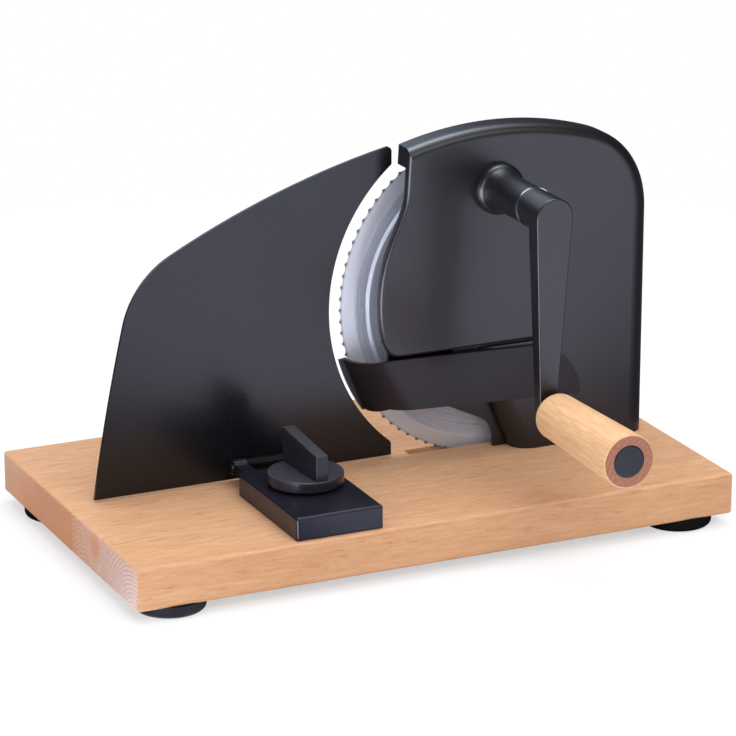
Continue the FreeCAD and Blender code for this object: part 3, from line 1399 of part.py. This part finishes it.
def make_knob():
    axis = ("knob_x", "-knob_y", "0")
    hole = "knob_shaft_radius + slip"
    shaft_top = "knob_top - knob_roof"
    disc = turned("knob_disc", axis, "up", [
        (hole, "knob_low"), ("knob_radius - knob_edge", "knob_low"),
        ("knob_radius", "knob_low + knob_edge"), ("knob_radius", "knob_top - knob_edge"),
        ("knob_radius - knob_edge", "knob_top", "knob_edge"), ("0", "knob_top"),
        ("0", f"{shaft_top} + slip"), (hole, f"{shaft_top} + slip")])
    side = doc.addObject("Sketcher::SketchObject", "fin_side")
    side.Placement.Rotation = Rotation(Vector(0, 0, 1), value("90 + fin_turn")).multiply(
        Rotation(Vector(1, 0, 0), 90))
    seat(side, *axis)
    nose_x = "(fin_back - fin_nose_radius)"
    hollow = "(fin_nose_radius + fin_hollow_radius)"
    root = f"{nose_x} + {hollow} * cos(fin_nose_turn) - fin_hollow_radius"
    draw(side, [
        ("-fin_front", "knob_top - overlap"), ("-fin_front", "fin_front_h"),
        ("nose_start", "fin_back_h"),
        (f"{nose_x} + fin_nose_radius * cos(fin_nose_turn)",
         "nose_h - fin_nose_radius * sin(fin_nose_turn)", "-fin_nose_radius"),
        (root, f"nose_h - {hollow} * sin(fin_nose_turn)", "fin_hollow_radius"),
        (root, "knob_top - overlap")])
    fin = doc.addObject("Part::Extrusion", "fin_blank")
    fin.Base = side
    fin.DirMode = "Normal"
    fin.Solid = True
    fin.Symmetric = True
    fin.setExpression("LengthFwd", bind("fin_width"))
    low_h = value("board_top + knob_top")

    def fin_edges(edge):
        return value("fin_edge") if edge.BoundBox.ZMax > low_h + 0.5 else None

    keep(fuse("knob_whole", disc, fillet("fin_rounding", fin, fin_edges)), "knob")
    groove = "pinion_seat_radius - clip_depth"
    low = "pinion_low - clip_width"
    shoulder = "pinion_low + pinion_width + slip"
    keep(turned("knob_spindle_body", axis, "up", [
        ("0", f"{low} - spindle_tip"), ("pinion_seat_radius", f"{low} - spindle_tip"),
        ("pinion_seat_radius", low), (groove, low), (groove, "pinion_low"),
        ("pinion_seat_radius", "pinion_low"), ("pinion_seat_radius", shoulder),
        ("knob_shaft_radius", shoulder), ("knob_shaft_radius", shaft_top),
        ("0", shaft_top)]), "knob_spindle")
    keep(tube("knob_washer_body", "knob_washer_radius", "knob_shaft_radius + slip",
              "knob_low - box_height - slip", ("knob_x", "-knob_y", "box_height + slip"), "up"),
         "knob_washer")
    pinion = gear(value("rack_module"), round(value("pinion_teeth")), value("pinion_width"),
                  value("pinion_seat_radius + slip / 2"), value("rack_backlash"), math.pi)
    keep(shaped("pinion", pinion, "up", ("knob_x", "-knob_y", "pinion_low")),
         "adjuster_pinion")
    clip("pinion_clip", "pinion_seat_radius", ("knob_x", "-knob_y", "pinion_low - slip"), "down")


make_board()
make_feet()
make_main_frame()
make_frame_screws()
make_gear_cover()
make_cover_screws()
make_bearings()
make_deflector()
make_gears()
make_crank()
make_handle()
make_blade()
make_guide_plate()
make_hinge_bar()
make_carriage()
make_rails()
make_knob()
doc.recompute()

for thing in doc.Objects:
    if "Invalid" in thing.State or "Error" in thing.State:
        raise ValueError(f"{thing.Name} failed: {thing.State}")
for label, thing in subparts.items():
    if thing.Shape.isNull() or not thing.Shape.isValid() or not thing.Shape.Solids:
        raise ValueError(f"{label} has no sound solid")

os.makedirs("parts", exist_ok=True)
for label, thing in subparts.items():
    thing.Shape.exportStep(f"parts/{label}.step")
print(len(subparts), "sub-parts written")
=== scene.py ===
# Looks of a hand cranked food slicer: materials for the CAD model's nodes, soft studio
# light, a pale floor and a camera at the photograph's angle. No piece is added.
# Metres, +Z up. X runs along the board, -Y is the crank side.

import json
import math

import bpy
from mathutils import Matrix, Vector


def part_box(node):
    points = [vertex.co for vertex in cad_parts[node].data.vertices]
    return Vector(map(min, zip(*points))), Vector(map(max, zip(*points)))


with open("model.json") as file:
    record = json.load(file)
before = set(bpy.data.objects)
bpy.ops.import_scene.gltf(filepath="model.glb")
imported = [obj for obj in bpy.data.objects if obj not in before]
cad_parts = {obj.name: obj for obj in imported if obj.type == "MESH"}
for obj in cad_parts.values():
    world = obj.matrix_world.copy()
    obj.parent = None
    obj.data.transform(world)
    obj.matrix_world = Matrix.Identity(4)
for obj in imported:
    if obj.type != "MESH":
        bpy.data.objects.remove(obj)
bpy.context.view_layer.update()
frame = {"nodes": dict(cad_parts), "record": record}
scene = bpy.context.scene
nodes = frame["nodes"]

# Camera: the photograph's own angle, distance and focal length.
AZIMUTH = math.radians(-24.847)
ELEVATION = math.radians(18.18)
DISTANCE = 1.99177
TARGET = Vector((0.00168, 0.0348, 0.08299))
LENS = 180.615

# The blade's scallops, whose points come at even angles about its axis.
TOOTH_COUNT = 90

# Radii on the blade: its turned rings as (middle, half width, strength), the softness of
# their edges, and the limits between which the bevel and the painted shade on the tooth tips set
# in.
TURNED_RINGS = ((0.0762, 0.0009, 0.3), (0.0712, 0.0004, 0.3), (0.0832, 0.0003, 0.45))
RING_SOFTNESS = 0.0003
BEVEL_START = (0.0834, 0.0838)
TIP_SHADE_START = (0.0900, 0.0920)

# The board's beech: its front edge and depth as in the CAD model, where its staves are
# glued as shares of that depth, the width of a growth ring, and the lowest height and the
# range of heights of the staves' piths.
BOARD_FRONT = -0.0652
BOARD_DEPTH = 0.2
STAVE_JOINTS = (0.245, 0.475, 0.745)
BOARD_RING = 0.0024
PITH_LOW = -0.07
PITH_SPAN = 0.16

# The handle's beech: its pith passes beside and below the grip.
HANDLE_PITH_X = 0.098
HANDLE_PITH_Z = 0.052
HANDLE_RING = 0.0027


class Shader:
    """A material's node tree around one Principled BSDF, with short ways to add nodes."""

    def __init__(self, name):
        self.material = bpy.data.materials.new(name)
        self.material.use_nodes = True
        self.tree = self.material.node_tree
        self.tree.nodes.clear()
        self.output = self.tree.nodes.new("ShaderNodeOutputMaterial")
        self.surface = self.tree.nodes.new("ShaderNodeBsdfPrincipled")
        self.tree.links.new(self.surface.outputs[0], self.output.inputs[0])
        coordinates = self.tree.nodes.new("ShaderNodeTexCoord")
        self.place = coordinates.outputs["Object"]
        self.facing = coordinates.outputs["Normal"]

    def put(self, node, key, given):
        """Link a socket to an input, or write a constant into it."""
        if isinstance(given, bpy.types.NodeSocket):
            self.tree.links.new(given, node.inputs[key])
        else:
            node.inputs[key].default_value = given

    def node(self, kind, inputs=None, **settings):
        made = self.tree.nodes.new(kind)
        for key, given in settings.items():
            setattr(made, key, given)
        for key, given in (inputs or {}).items():
            self.put(made, key, given)
        return made

    def math(self, operation, *values):
        inputs = dict(enumerate(values))
        return self.node("ShaderNodeMath", inputs, operation=operation).outputs[0]

    def length(self, first, second):
        """The length of a line that goes this far along each of two axes."""
        squares = [self.math("MULTIPLY", part, part) for part in (first, second)]
        return self.math("SQRT", self.math("ADD", *squares))

    def stretch(self, x, y, z):
        """The place scaled along each axis, so that patterns come out long or short."""
        inputs = {"Vector": self.place, "Scale": (x, y, z)}
        return self.node("ShaderNodeMapping", inputs).outputs[0]

    def noise(self, vector, scale=1.0, detail=3.0, roughness=0.5):
        inputs = {"Vector": vector, "Scale": scale, "Detail": detail, "Roughness": roughness}
        return self.node("ShaderNodeTexNoise", inputs).outputs[0]

    def ramp(self, factor, stops, interpolation="LINEAR"):
        """Colours by a factor; each stop is (place, colour)."""
        made = self.node("ShaderNodeValToRGB", {0: factor})
        ramp = made.color_ramp
        ramp.interpolation = interpolation
        while len(ramp.elements) < len(stops):
            ramp.elements.new(0.5)
        for element, (position, colour) in zip(ramp.elements, stops):
            element.position = position
            element.color = (*colour, 1)
        return made.outputs[0]

    def rise(self, factor, low, high, start=0.0, end=1.0):
        """A smooth step of a value between two limits."""
        inputs = {0: factor, 1: low, 2: high, 3: start, 4: end}
        return self.node("ShaderNodeMapRange", inputs,
                         interpolation_type="SMOOTHSTEP").outputs[0]

    def mix(self, factor, first, second):
        inputs = {0: factor, 6: first, 7: second}
        return self.node("ShaderNodeMix", inputs, data_type="RGBA").outputs[2]

    def split(self, vector):
        return self.node("ShaderNodeSeparateXYZ", {0: vector}).outputs

    def join(self, x, y, z):
        return self.node("ShaderNodeCombineXYZ", {0: x, 1: y, 2: z}).outputs[0]

    def bump(self, height, distance, strength):
        inputs = {"Height": height, "Distance": distance, "Strength": strength}
        return self.node("ShaderNodeBump", inputs).outputs[0]

    def finish(self, **sockets):
        """Set the Principled BSDF's inputs, written with _ for a space."""
        for key, given in sockets.items():
            self.put(self.surface, key.replace("_", " "), given)
        return self.material


def rgb(red, green, blue):
    """A colour written as on a screen, 0 to 255, in the linear values that shaders take."""
    def linear(value):
        value /= 255
        return value / 12.92 if value <= 0.04045 else ((value + 0.055) / 1.055) ** 2.4
    return (linear(red), linear(green), linear(blue), 1)


def flat(colour):
    return colour[:3]


# Beech: growth rings about a pith per stave, fine fibres along the grain, ray flecks.

def fibres(shader, along):
    """Fine streaks along the grain and the small lens shaped flecks of beech.

    along gives the three scales of a pattern from its scale with the grain and across it.
    """
    streaks = shader.noise(shader.stretch(*along(70, 760)), detail=4, roughness=0.6)
    cells = shader.node("ShaderNodeTexVoronoi", {
        "Vector": shader.stretch(*along(260, 1500)), "Scale": 1.0, "Randomness": 1.0})
    patches = shader.noise(shader.stretch(*along(30, 160)), detail=1)
    flecks = shader.math("MULTIPLY", shader.rise(cells.outputs["Distance"], 0.34, 0.1),
                         shader.rise(patches, 0.45, 0.62))
    return streaks, flecks


def board_beech():
    shader = Shader("board_beech")
    y, z = shader.split(shader.place)[1:]
    share = shader.math("DIVIDE", shader.math("SUBTRACT", y, BOARD_FRONT), BOARD_DEPTH)
    first_joint, second_joint = STAVE_JOINTS[:2]

    def per_stave(*colours):
        """One even colour for each stave, from the front to the back."""
        return shader.ramp(share, list(zip((0.0, *STAVE_JOINTS), colours)), "CONSTANT")

    # Each stave's tone, then its pith's place across the board and in height.
    staves = per_stave((0.62, 0.02, 0.42), (0.35, 0.36, 0.28), (0.75, 0.9, 0.05),
                       (0.45, 0.80, 0.85))
    # How far each stave's rings stand out at its ends.
    marked = per_stave(*[(strength,) * 3 for strength in (0.5, 0.3, 0.5, 0.08)])
    tone, pith_y, pith_z = shader.node("ShaderNodeSeparateColor", {0: staves}).outputs
    sway = shader.noise(shader.stretch(3.2, 22, 22), detail=2)
    pith_depth = shader.math("MULTIPLY_ADD", pith_y, BOARD_DEPTH, BOARD_FRONT)
    pith_height = shader.math("MULTIPLY_ADD", pith_z, PITH_SPAN, PITH_LOW)
    radius = shader.length(shader.math("SUBTRACT", y, pith_depth),
                           shader.math("SUBTRACT", z, pith_height))
    radius = shader.math("ADD", radius, shader.math("MULTIPLY", sway, 0.012))
    year = shader.math("FRACT", shader.math("DIVIDE", radius, BOARD_RING))
    rings = shader.rise(year, 0.35, 1.0)

    def along(length, width):
        return (length, width, width)

    streaks, flecks = fibres(shader, along)
    broad = shader.noise(shader.stretch(*along(7, 110)), detail=2)
    light = shader.ramp(streaks, [(0.3, flat(rgb(198, 152, 114))), (0.7, flat(rgb(216, 174, 136)))])
    warm = shader.ramp(streaks, [(0.3, flat(rgb(192, 144, 106))), (0.7, flat(rgb(210, 165, 127)))])
    side = shader.mix(tone, light, warm)
    side = shader.mix(shader.math("MULTIPLY", rings, 0.1), side, rgb(188, 132, 92))
    side = shader.mix(shader.math("MULTIPLY", shader.rise(broad, 0.4, 0.75), 0.3), side,
                      rgb(194, 144, 104))
    short = shader.noise(shader.stretch(75, 520, 520), detail=2)
    side = shader.mix(shader.rise(short, 0.57, 0.76, 0, 0.55), side, rgb(172, 120, 82))
    side = shader.mix(shader.math("MULTIPLY", flecks, 0.45), side, rgb(160, 106, 70))
    # End grain: the rings stand out, and each stave has its own colour.
    ends = shader.ramp(share, [
        (0.0, flat(rgb(206, 178, 168))), (first_joint, flat(rgb(208, 178, 162))),
        (0.44, flat(rgb(206, 160, 130))), (second_joint, flat(rgb(206, 146, 108))),
        (0.73, flat(rgb(204, 150, 116))), (0.9, flat(rgb(208, 166, 138)))])
    # A warm blotch in the second stave and along the lower part of the last one.
    spot = shader.node("ShaderNodeVectorMath", {
        0: shader.join(0.0, y, z), 1: (0, -0.006, 0.022)}, operation="DISTANCE").outputs["Value"]
    low_back = shader.math("MULTIPLY", shader.rise(share, 0.98, 0.74, 0.4, 1.0),
                           shader.rise(z, 0.03, 0.014))
    low_back = shader.math("MULTIPLY", low_back, shader.rise(share, 0.74, 0.76))
    warmer = shader.math("MAXIMUM", shader.rise(spot, 0.011, 0.003), low_back)
    ends = shader.mix(shader.math("MULTIPLY", warmer, 0.7), ends, rgb(206, 140, 104))
    pores = shader.noise(shader.stretch(60, 1100, 1100), detail=2)
    ends = shader.mix(shader.math("MULTIPLY", rings, marked), ends, rgb(160, 110, 84))
    ends = shader.mix(shader.rise(pores, 0.45, 0.75, 0, 0.35), ends, rgb(150, 104, 78))
    # Painted shade: the front face is made a little darker than the top.
    face_x, face_y = shader.split(shader.facing)[:2]
    front = shader.rise(face_y, -0.6, -0.95, 0, 0.14)
    side = shader.mix(front, side, rgb(150, 104, 70))
    cut = shader.rise(shader.math("ABSOLUTE", face_x), 0.75, 0.95)
    colour = shader.mix(cut, side, ends)
    joint = 1.0
    for place in STAVE_JOINTS:
        off = shader.math("ABSOLUTE", shader.math("SUBTRACT", share, place))
        joint = shader.math("MINIMUM", joint, off)
    line = shader.rise(joint, 0.0022, 0.0004)
    colour = shader.mix(shader.math("MULTIPLY", line, 0.35), colour, rgb(150, 100, 66))
    rough = shader.rise(streaks, 0.3, 0.7, 0.5, 0.42)
    height = shader.math("ADD", shader.math("MULTIPLY", streaks, 0.6),
                         shader.math("MULTIPLY", flecks, -0.6))
    return shader.finish(Base_Color=colour, Roughness=rough, Specular_IOR_Level=0.1,
                         Normal=shader.bump(height, 0.00012, 0.5))


def handle_beech():
    shader = Shader("handle_beech")
    place = shader.split(shader.place)
    sway = shader.noise(shader.stretch(30, 6, 30), detail=2)
    radius = shader.length(shader.math("SUBTRACT", place["X"], HANDLE_PITH_X),
                           shader.math("SUBTRACT", place["Z"], HANDLE_PITH_Z))
    radius = shader.math("ADD", radius, shader.math("MULTIPLY", sway, 0.006))
    year = shader.math("FRACT", shader.math("DIVIDE", radius, HANDLE_RING))
    rings = shader.rise(year, 0.35, 1.0)

    def along(length, width):
        return (width, length, width)

    streaks, flecks = fibres(shader, along)
    side = shader.ramp(streaks, [(0.3, flat(rgb(218, 168, 122))), (0.7, flat(rgb(240, 198, 154)))])
    side = shader.mix(shader.math("MULTIPLY", rings, 0.18), side, rgb(202, 148, 102))
    side = shader.mix(shader.math("MULTIPLY", flecks, 0.4), side, rgb(172, 114, 72))
    ends = shader.ramp(shader.noise(shader.stretch(900, 60, 900), detail=2), [
        (0.3, flat(rgb(134, 84, 58))), (0.7, flat(rgb(168, 112, 82)))])
    ends = shader.mix(shader.math("MULTIPLY", rings, 0.5), ends, rgb(128, 70, 52))
    facing_y = shader.math("ABSOLUTE", shader.split(shader.facing)[1])
    colour = shader.mix(shader.rise(facing_y, 0.6, 0.9), side, ends)
    return shader.finish(Base_Color=colour, Roughness=0.42, Specular_IOR_Level=0.4,
                         Normal=shader.bump(streaks, 0.0001, 0.4))


# Coats and plastics

def coat(name, colour, roughness, grain, depth, gloss=0.38, lacquer=0.0, tint=(1, 1, 1)):
    """A powder coat: a fine orange peel over a nearly even colour, lacquered or not."""
    shader = Shader(name)
    peel = shader.noise(shader.place, scale=grain, detail=2)
    cloud = shader.noise(shader.place, scale=30, detail=2)
    shade = shader.mix(shader.rise(cloud, 0.3, 0.7), rgb(*colour),
                       rgb(*(value + 3 for value in colour)))
    rough = shader.rise(peel, 0.3, 0.7, roughness - 0.03, roughness + 0.03)
    return shader.finish(Base_Color=shade, Roughness=rough, Specular_IOR_Level=gloss,
                         Specular_Tint=(*tint, 1), Coat_Weight=lacquer, Coat_Roughness=0.12,
                         Normal=shader.bump(peel, depth, 0.5))


def moulded(name, colour, roughness, grain, depth, gloss=0.5, painted_top_light=0, lacquer=0.0):
    """Moulded plastic or rubber with a fine texture and slightly uneven gloss; where it looks up
    it may carry painted light: it is made lighter, as light from above would show it."""
    shader = Shader(name)
    texture = shader.noise(shader.place, scale=grain, detail=4, roughness=0.6)
    smear = shader.noise(shader.place, scale=120, detail=3)
    shade = shader.mix(shader.rise(texture, 0.35, 0.7), rgb(*colour),
                       rgb(*(value + 5 for value in colour)))
    # Painted light: faces that look up are made lighter, as light from above would show them.
    if painted_top_light:
        upward = shader.rise(shader.split(shader.facing)[2], 0.3, 0.8)
        shade = shader.mix(upward, shade, rgb(*(value + painted_top_light for value in colour)))
    rough = shader.rise(smear, 0.3, 0.7, roughness - 0.05, roughness + 0.06)
    return shader.finish(Base_Color=shade, Roughness=rough, Specular_IOR_Level=gloss,
                         Coat_Weight=lacquer, Coat_Roughness=0.1,
                         Normal=shader.bump(texture, depth, 0.6))


# Metals

def steel(name, colour, roughness, fine, depth):
    """Plain machined or plated metal with fine marks."""
    shader = Shader(name)
    marks = shader.noise(shader.place, scale=fine, detail=4, roughness=0.65)
    shade = shader.mix(shader.rise(marks, 0.3, 0.7), rgb(*colour),
                       rgb(*(value * 0.86 for value in colour)))
    rough = shader.rise(marks, 0.3, 0.7, roughness - 0.04, roughness + 0.05)
    return shader.finish(Base_Color=shade, Roughness=rough, Metallic=1.0,
                         Normal=shader.bump(marks, depth, 0.4))


def blade_steel():
    """Stainless steel brushed round the blade's axis: a dull disc with turned rings, a
    bright ground bevel and painted shade on the tooth tips."""
    shader = Shader("blade_steel")
    place = shader.split(shader.place)
    low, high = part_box("slicing_blade")
    centre = (low + high) / 2
    run_x = shader.math("SUBTRACT", place["X"], centre.x)
    run_z = shader.math("SUBTRACT", place["Z"], centre.z)
    radius = shader.length(run_x, run_z)
    angle = shader.math("ARCTAN2", run_z, run_x)

    def turning(across, round_axis, detail):
        """Noise drawn out round the axis."""
        return shader.noise(shader.join(shader.math("MULTIPLY", radius, across),
                                        shader.math("MULTIPLY", angle, round_axis), 0.0),
                            detail=detail)

    def ring(middle, half):
        off = shader.math("ABSOLUTE", shader.math("SUBTRACT", radius, middle))
        return shader.rise(off, half + RING_SOFTNESS, half)

    lines, wide = turning(2600, 5, 4), turning(300, 2, 2)
    shade = shader.mix(shader.rise(lines, 0.3, 0.7), rgb(190, 197, 212), rgb(163, 169, 187))
    shade = shader.mix(shader.rise(wide, 0.4, 0.7, 0, 0.5), shade, rgb(158, 161, 176))
    for middle, half, strength in TURNED_RINGS:
        shade = shader.mix(shader.math("MULTIPLY", ring(middle, half), strength), shade,
                           rgb(222, 224, 232))
    ground = shader.rise(radius, *BEVEL_START)
    shade = shader.mix(ground, shade, rgb(206, 209, 218))
    # Painted shade: the tooth tips at the rim are darkened, one dark patch per tooth.
    tip = shader.rise(shader.math("COSINE", shader.math("MULTIPLY", angle, TOOTH_COUNT)),
                      0.0, 0.9, 0.45, 1.0)
    edge = shader.math("MULTIPLY", shader.rise(radius, *TIP_SHADE_START), tip)
    shade = shader.mix(shader.math("MULTIPLY", edge, 0.85), shade, rgb(48, 46, 50))
    metal = shader.rise(ground, 0.0, 1.0, 0.12, 0.5)
    rough = shader.rise(wide, 0.3, 0.7, 0.42, 0.5)
    brushing = shader.node("ShaderNodeTangent", direction_type="RADIAL", axis="Y")
    return shader.finish(Base_Color=shade, Metallic=metal, Roughness=rough, Anisotropic=0.7,
                         Tangent=brushing.outputs[0],
                         Normal=shader.bump(lines, 0.00003, 0.5))


MATERIALS = {
    "board_beech": board_beech(),
    "handle_beech": handle_beech(),
    "foot_rubber": moulded("foot_rubber", (10, 10, 11), 0.8, 900, 0.0001, 0.15),
    "black_coat": coat("black_coat", (15, 14, 17), 0.38, 1400, 0.00001, 0.5, 0.1),
    "strip_coat": coat("strip_coat", (30, 26, 29), 0.34, 1400, 0.00001, 0.18, 0.08),
    "blade_steel": blade_steel(),
    "turned_steel": steel("turned_steel", (178, 180, 184), 0.3, 900, 0.00003),
    "zinc_steel": steel("zinc_steel", (186, 188, 190), 0.34, 500, 0.00004),
    "bright_chrome": steel("bright_chrome", (225, 226, 230), 0.12, 700, 0.00001),
    "bush_bronze": steel("bush_bronze", (176, 128, 72), 0.38, 700, 0.00004),
    "gear_plastic": moulded("gear_plastic", (212, 208, 196), 0.45, 700, 0.00005),
    "rail_plastic": moulded("rail_plastic", (60, 60, 62), 0.5, 700, 0.00005),
    "carriage_plastic": coat("carriage_plastic", (26, 25, 34), 0.24, 1400, 0.00001, 0.26, 0.06,
                             (0.84, 0.86, 1.0)),
    # The knob carries painted light: its faces that look up are made lighter.
    "knob_plastic": moulded("knob_plastic", (28, 28, 34), 0.34, 420, 0.0001, 0.1, 28, 0.26),
    "cap_plastic": moulded("cap_plastic", (24, 26, 33), 0.5, 800, 0.00005, 0.3),
}
# The plate is a smoother sheet than the castings; its bracket and pin are dull black.
OWN_MATERIALS = {
    "guide_plate": coat("plate_coat", (13, 12, 15), 0.25, 1400, 0.00001),
    "plate_bracket": coat("bracket_coat", (8, 8, 9), 0.34, 1400, 0.00001, 0.1),
    "cross_pin": coat("blackened_steel", (9, 9, 10), 0.2, 700, 0.00001, 0.16),
}
for entry in frame["record"]["subparts"]:
    materials = nodes[entry["node"]].data.materials
    materials.clear()
    materials.append(OWN_MATERIALS.get(entry["node"]) or MATERIALS[entry["material_slot"]])


# Studio

def area_light(name, location, target, width, height, power):
    light = bpy.data.lights.new(name, "AREA")
    light.shape = "RECTANGLE"
    light.size = width
    light.size_y = height
    light.energy = power
    holder = bpy.data.objects.new(name, light)
    scene.collection.objects.link(holder)
    holder.location = location
    holder.rotation_euler = (Vector(target) - Vector(location)).to_track_quat(
        "-Z", "Y").to_euler()


def adder(tree):
    """A short way to add nodes to a tree, with their inputs linked or filled in order."""
    def add(kind, *given, **settings):
        made = tree.nodes.new("ShaderNode" + kind)
        for key, setting in settings.items():
            setattr(made, key, setting)
        for index, source in enumerate(given):
            if isinstance(source, bpy.types.NodeSocket):
                tree.links.new(source, made.inputs[index])
            elif source is not None:
                made.inputs[index].default_value = source
        return made
    return add


def make_studio():
    area_light("key_light", (0.12, -1.8, 1.6), (0, 0, 0.05), 2.4, 1.2, 26)
    area_light("top_light", (0.2, 0.2, 1.9), (0, 0, 0), 1.8, 1.4, 20)
    area_light("side_light", (-1.5, -0.9, 0.6), (0, 0, 0.12), 0.5, 1.0, 7.5)
    make_world()


def make_world():
    """Pale surroundings for the light, brighter higher up. In reflections they are dark, but
    for two soft windows, behind and above, which draw the beads along the upper edges."""
    world = bpy.data.worlds.new("studio")
    scene.world = world
    world.use_nodes = True
    tree = world.node_tree
    tree.nodes.clear()
    add = adder(tree)
    direction = add("TexCoord").outputs["Generated"]
    height = add("SeparateXYZ", direction).outputs[2]
    ramp = add("ValToRGB", height)
    stops = ramp.color_ramp.elements
    stops.new(0.5)
    for stop, (position, colour) in zip(stops, [
            (0.0, (0.16, 0.16, 0.18)), (0.28, (0.20, 0.21, 0.24)), (0.62, (0.85, 0.87, 0.95))]):
        stop.position = position
        stop.color = (*colour, 1)
    lighting = add("Background", ramp.outputs[0], 1.0).outputs[0]

    def window(azimuth, elevation, low, high, strength):
        """A soft round patch of light in the reflected surroundings."""
        flat_share = math.cos(math.radians(elevation))
        aim = (math.cos(math.radians(azimuth)) * flat_share,
               math.sin(math.radians(azimuth)) * flat_share, math.sin(math.radians(elevation)))
        dot = add("VectorMath", direction, aim, operation="DOT_PRODUCT").outputs["Value"]
        return add("MapRange", dot, low, high, 0.0, strength,
                   interpolation_type="SMOOTHSTEP").outputs[0]

    low_window = window(104, 38, 0.76, 0.97, 1.6)
    high_window = window(75, 76, 0.93, 0.985, 11.0)
    both = add("Math", low_window, high_window, operation="ADD").outputs[0]
    glow = add("Math", both, 0.05, operation="ADD").outputs[0]
    reflected = add("Background", (0.72, 0.82, 1.0, 1), glow).outputs[0]
    glossy = add("LightPath").outputs["Is Glossy Ray"]
    add("OutputWorld", add("MixShader", glossy, lighting, reflected).outputs[0])


def make_floor():
    """A round pale floor that keeps the object's shadow.

    Seen straight on it is white. In reflections it is a lit sweep: bright in front,
    brightest at the left, dark at the right and the back, with painted shade close to the object.
    """
    mesh = bpy.data.meshes.new("floor")
    count, radius = 96, 9.0
    rim = [(radius * math.cos(2 * math.pi * step / count),
            radius * math.sin(2 * math.pi * step / count), 0) for step in range(count)]
    mesh.from_pydata(rim, [], [range(count)])
    floor = bpy.data.objects.new("floor", mesh)
    scene.collection.objects.link(floor)
    material = bpy.data.materials.new("floor_white")
    material.use_nodes = True
    tree = material.node_tree
    tree.nodes.clear()
    add = adder(tree)
    place = add("TexCoord").outputs["Object"]
    distance = add("VectorMath", place, operation="LENGTH").outputs["Value"]
    # Painted shade: the reflected floor is dark round the board, whose length counts for less.
    around = add("Mapping", place, (0, -0.035, 0), (0, 0, 0), (0.62, 1, 1)).outputs[0]
    from_board = add("VectorMath", around, operation="LENGTH").outputs["Value"]
    direction = add("VectorMath", place, operation="NORMALIZE").outputs[0]

    def toward(azimuth, low, high):
        """1 in the directions about an azimuth, 0 away from it."""
        angle = math.radians(azimuth)
        aim = (math.cos(angle), math.sin(angle), 0)
        dot = add("VectorMath", direction, aim, operation="DOT_PRODUCT").outputs["Value"]
        return add("MapRange", dot, low, high, 0.0, 1.0,
                   interpolation_type="SMOOTHSTEP").outputs[0]

    def times(first, second):
        return add("Math", first, second, operation="MULTIPLY").outputs[0]

    def plus(first, second):
        return add("Math", first, second, operation="ADD").outputs[0]

    # Painted shade: the sweep fades out close to the board.
    clear_of_board = add("MapRange", from_board, 0.11, 0.17, 0.0, 1.0,
                         interpolation_type="SMOOTHSTEP").outputs[0]
    lit = plus(plus(0.14, times(toward(-70, 0.72, 0.93), 2.4)),
               times(toward(-156, 0.86, 0.97), 13.0))
    sweep = add("Emission", (0.8, 0.81, 1.0, 1), times(lit, clear_of_board)).outputs[0]
    diffuse = add("BsdfDiffuse", (0.86, 0.86, 0.86, 1)).outputs[0]
    white = add("Emission", (1, 1, 1, 1), 1.0).outputs[0]
    fade = add("MapRange", distance, 0.2, 0.7, 0.55, 1.0).outputs[0]
    path = add("LightPath").outputs
    seen = add("MixShader", times(path["Is Camera Ray"], fade), diffuse, white).outputs[0]
    floor_shader = add("MixShader", path["Is Glossy Ray"], seen, sweep).outputs[0]
    add("OutputMaterial", floor_shader)
    mesh.materials.append(material)


def make_camera():
    camera = bpy.data.cameras.new("camera")
    camera.lens = LENS
    camera.sensor_width = 36.0
    camera.clip_start = 0.05
    camera.clip_end = 50.0
    holder = bpy.data.objects.new("camera", camera)
    scene.collection.objects.link(holder)
    back = Vector((math.sin(AZIMUTH) * math.cos(ELEVATION),
                   -math.cos(AZIMUTH) * math.cos(ELEVATION), math.sin(ELEVATION)))
    holder.location = TARGET + back * DISTANCE
    holder.rotation_mode = "QUATERNION"
    holder.rotation_quaternion = (-back).to_track_quat("-Z", "Y")
    scene.camera = holder


make_studio()
make_floor()
make_camera()
scene.view_settings.view_transform = "Standard"
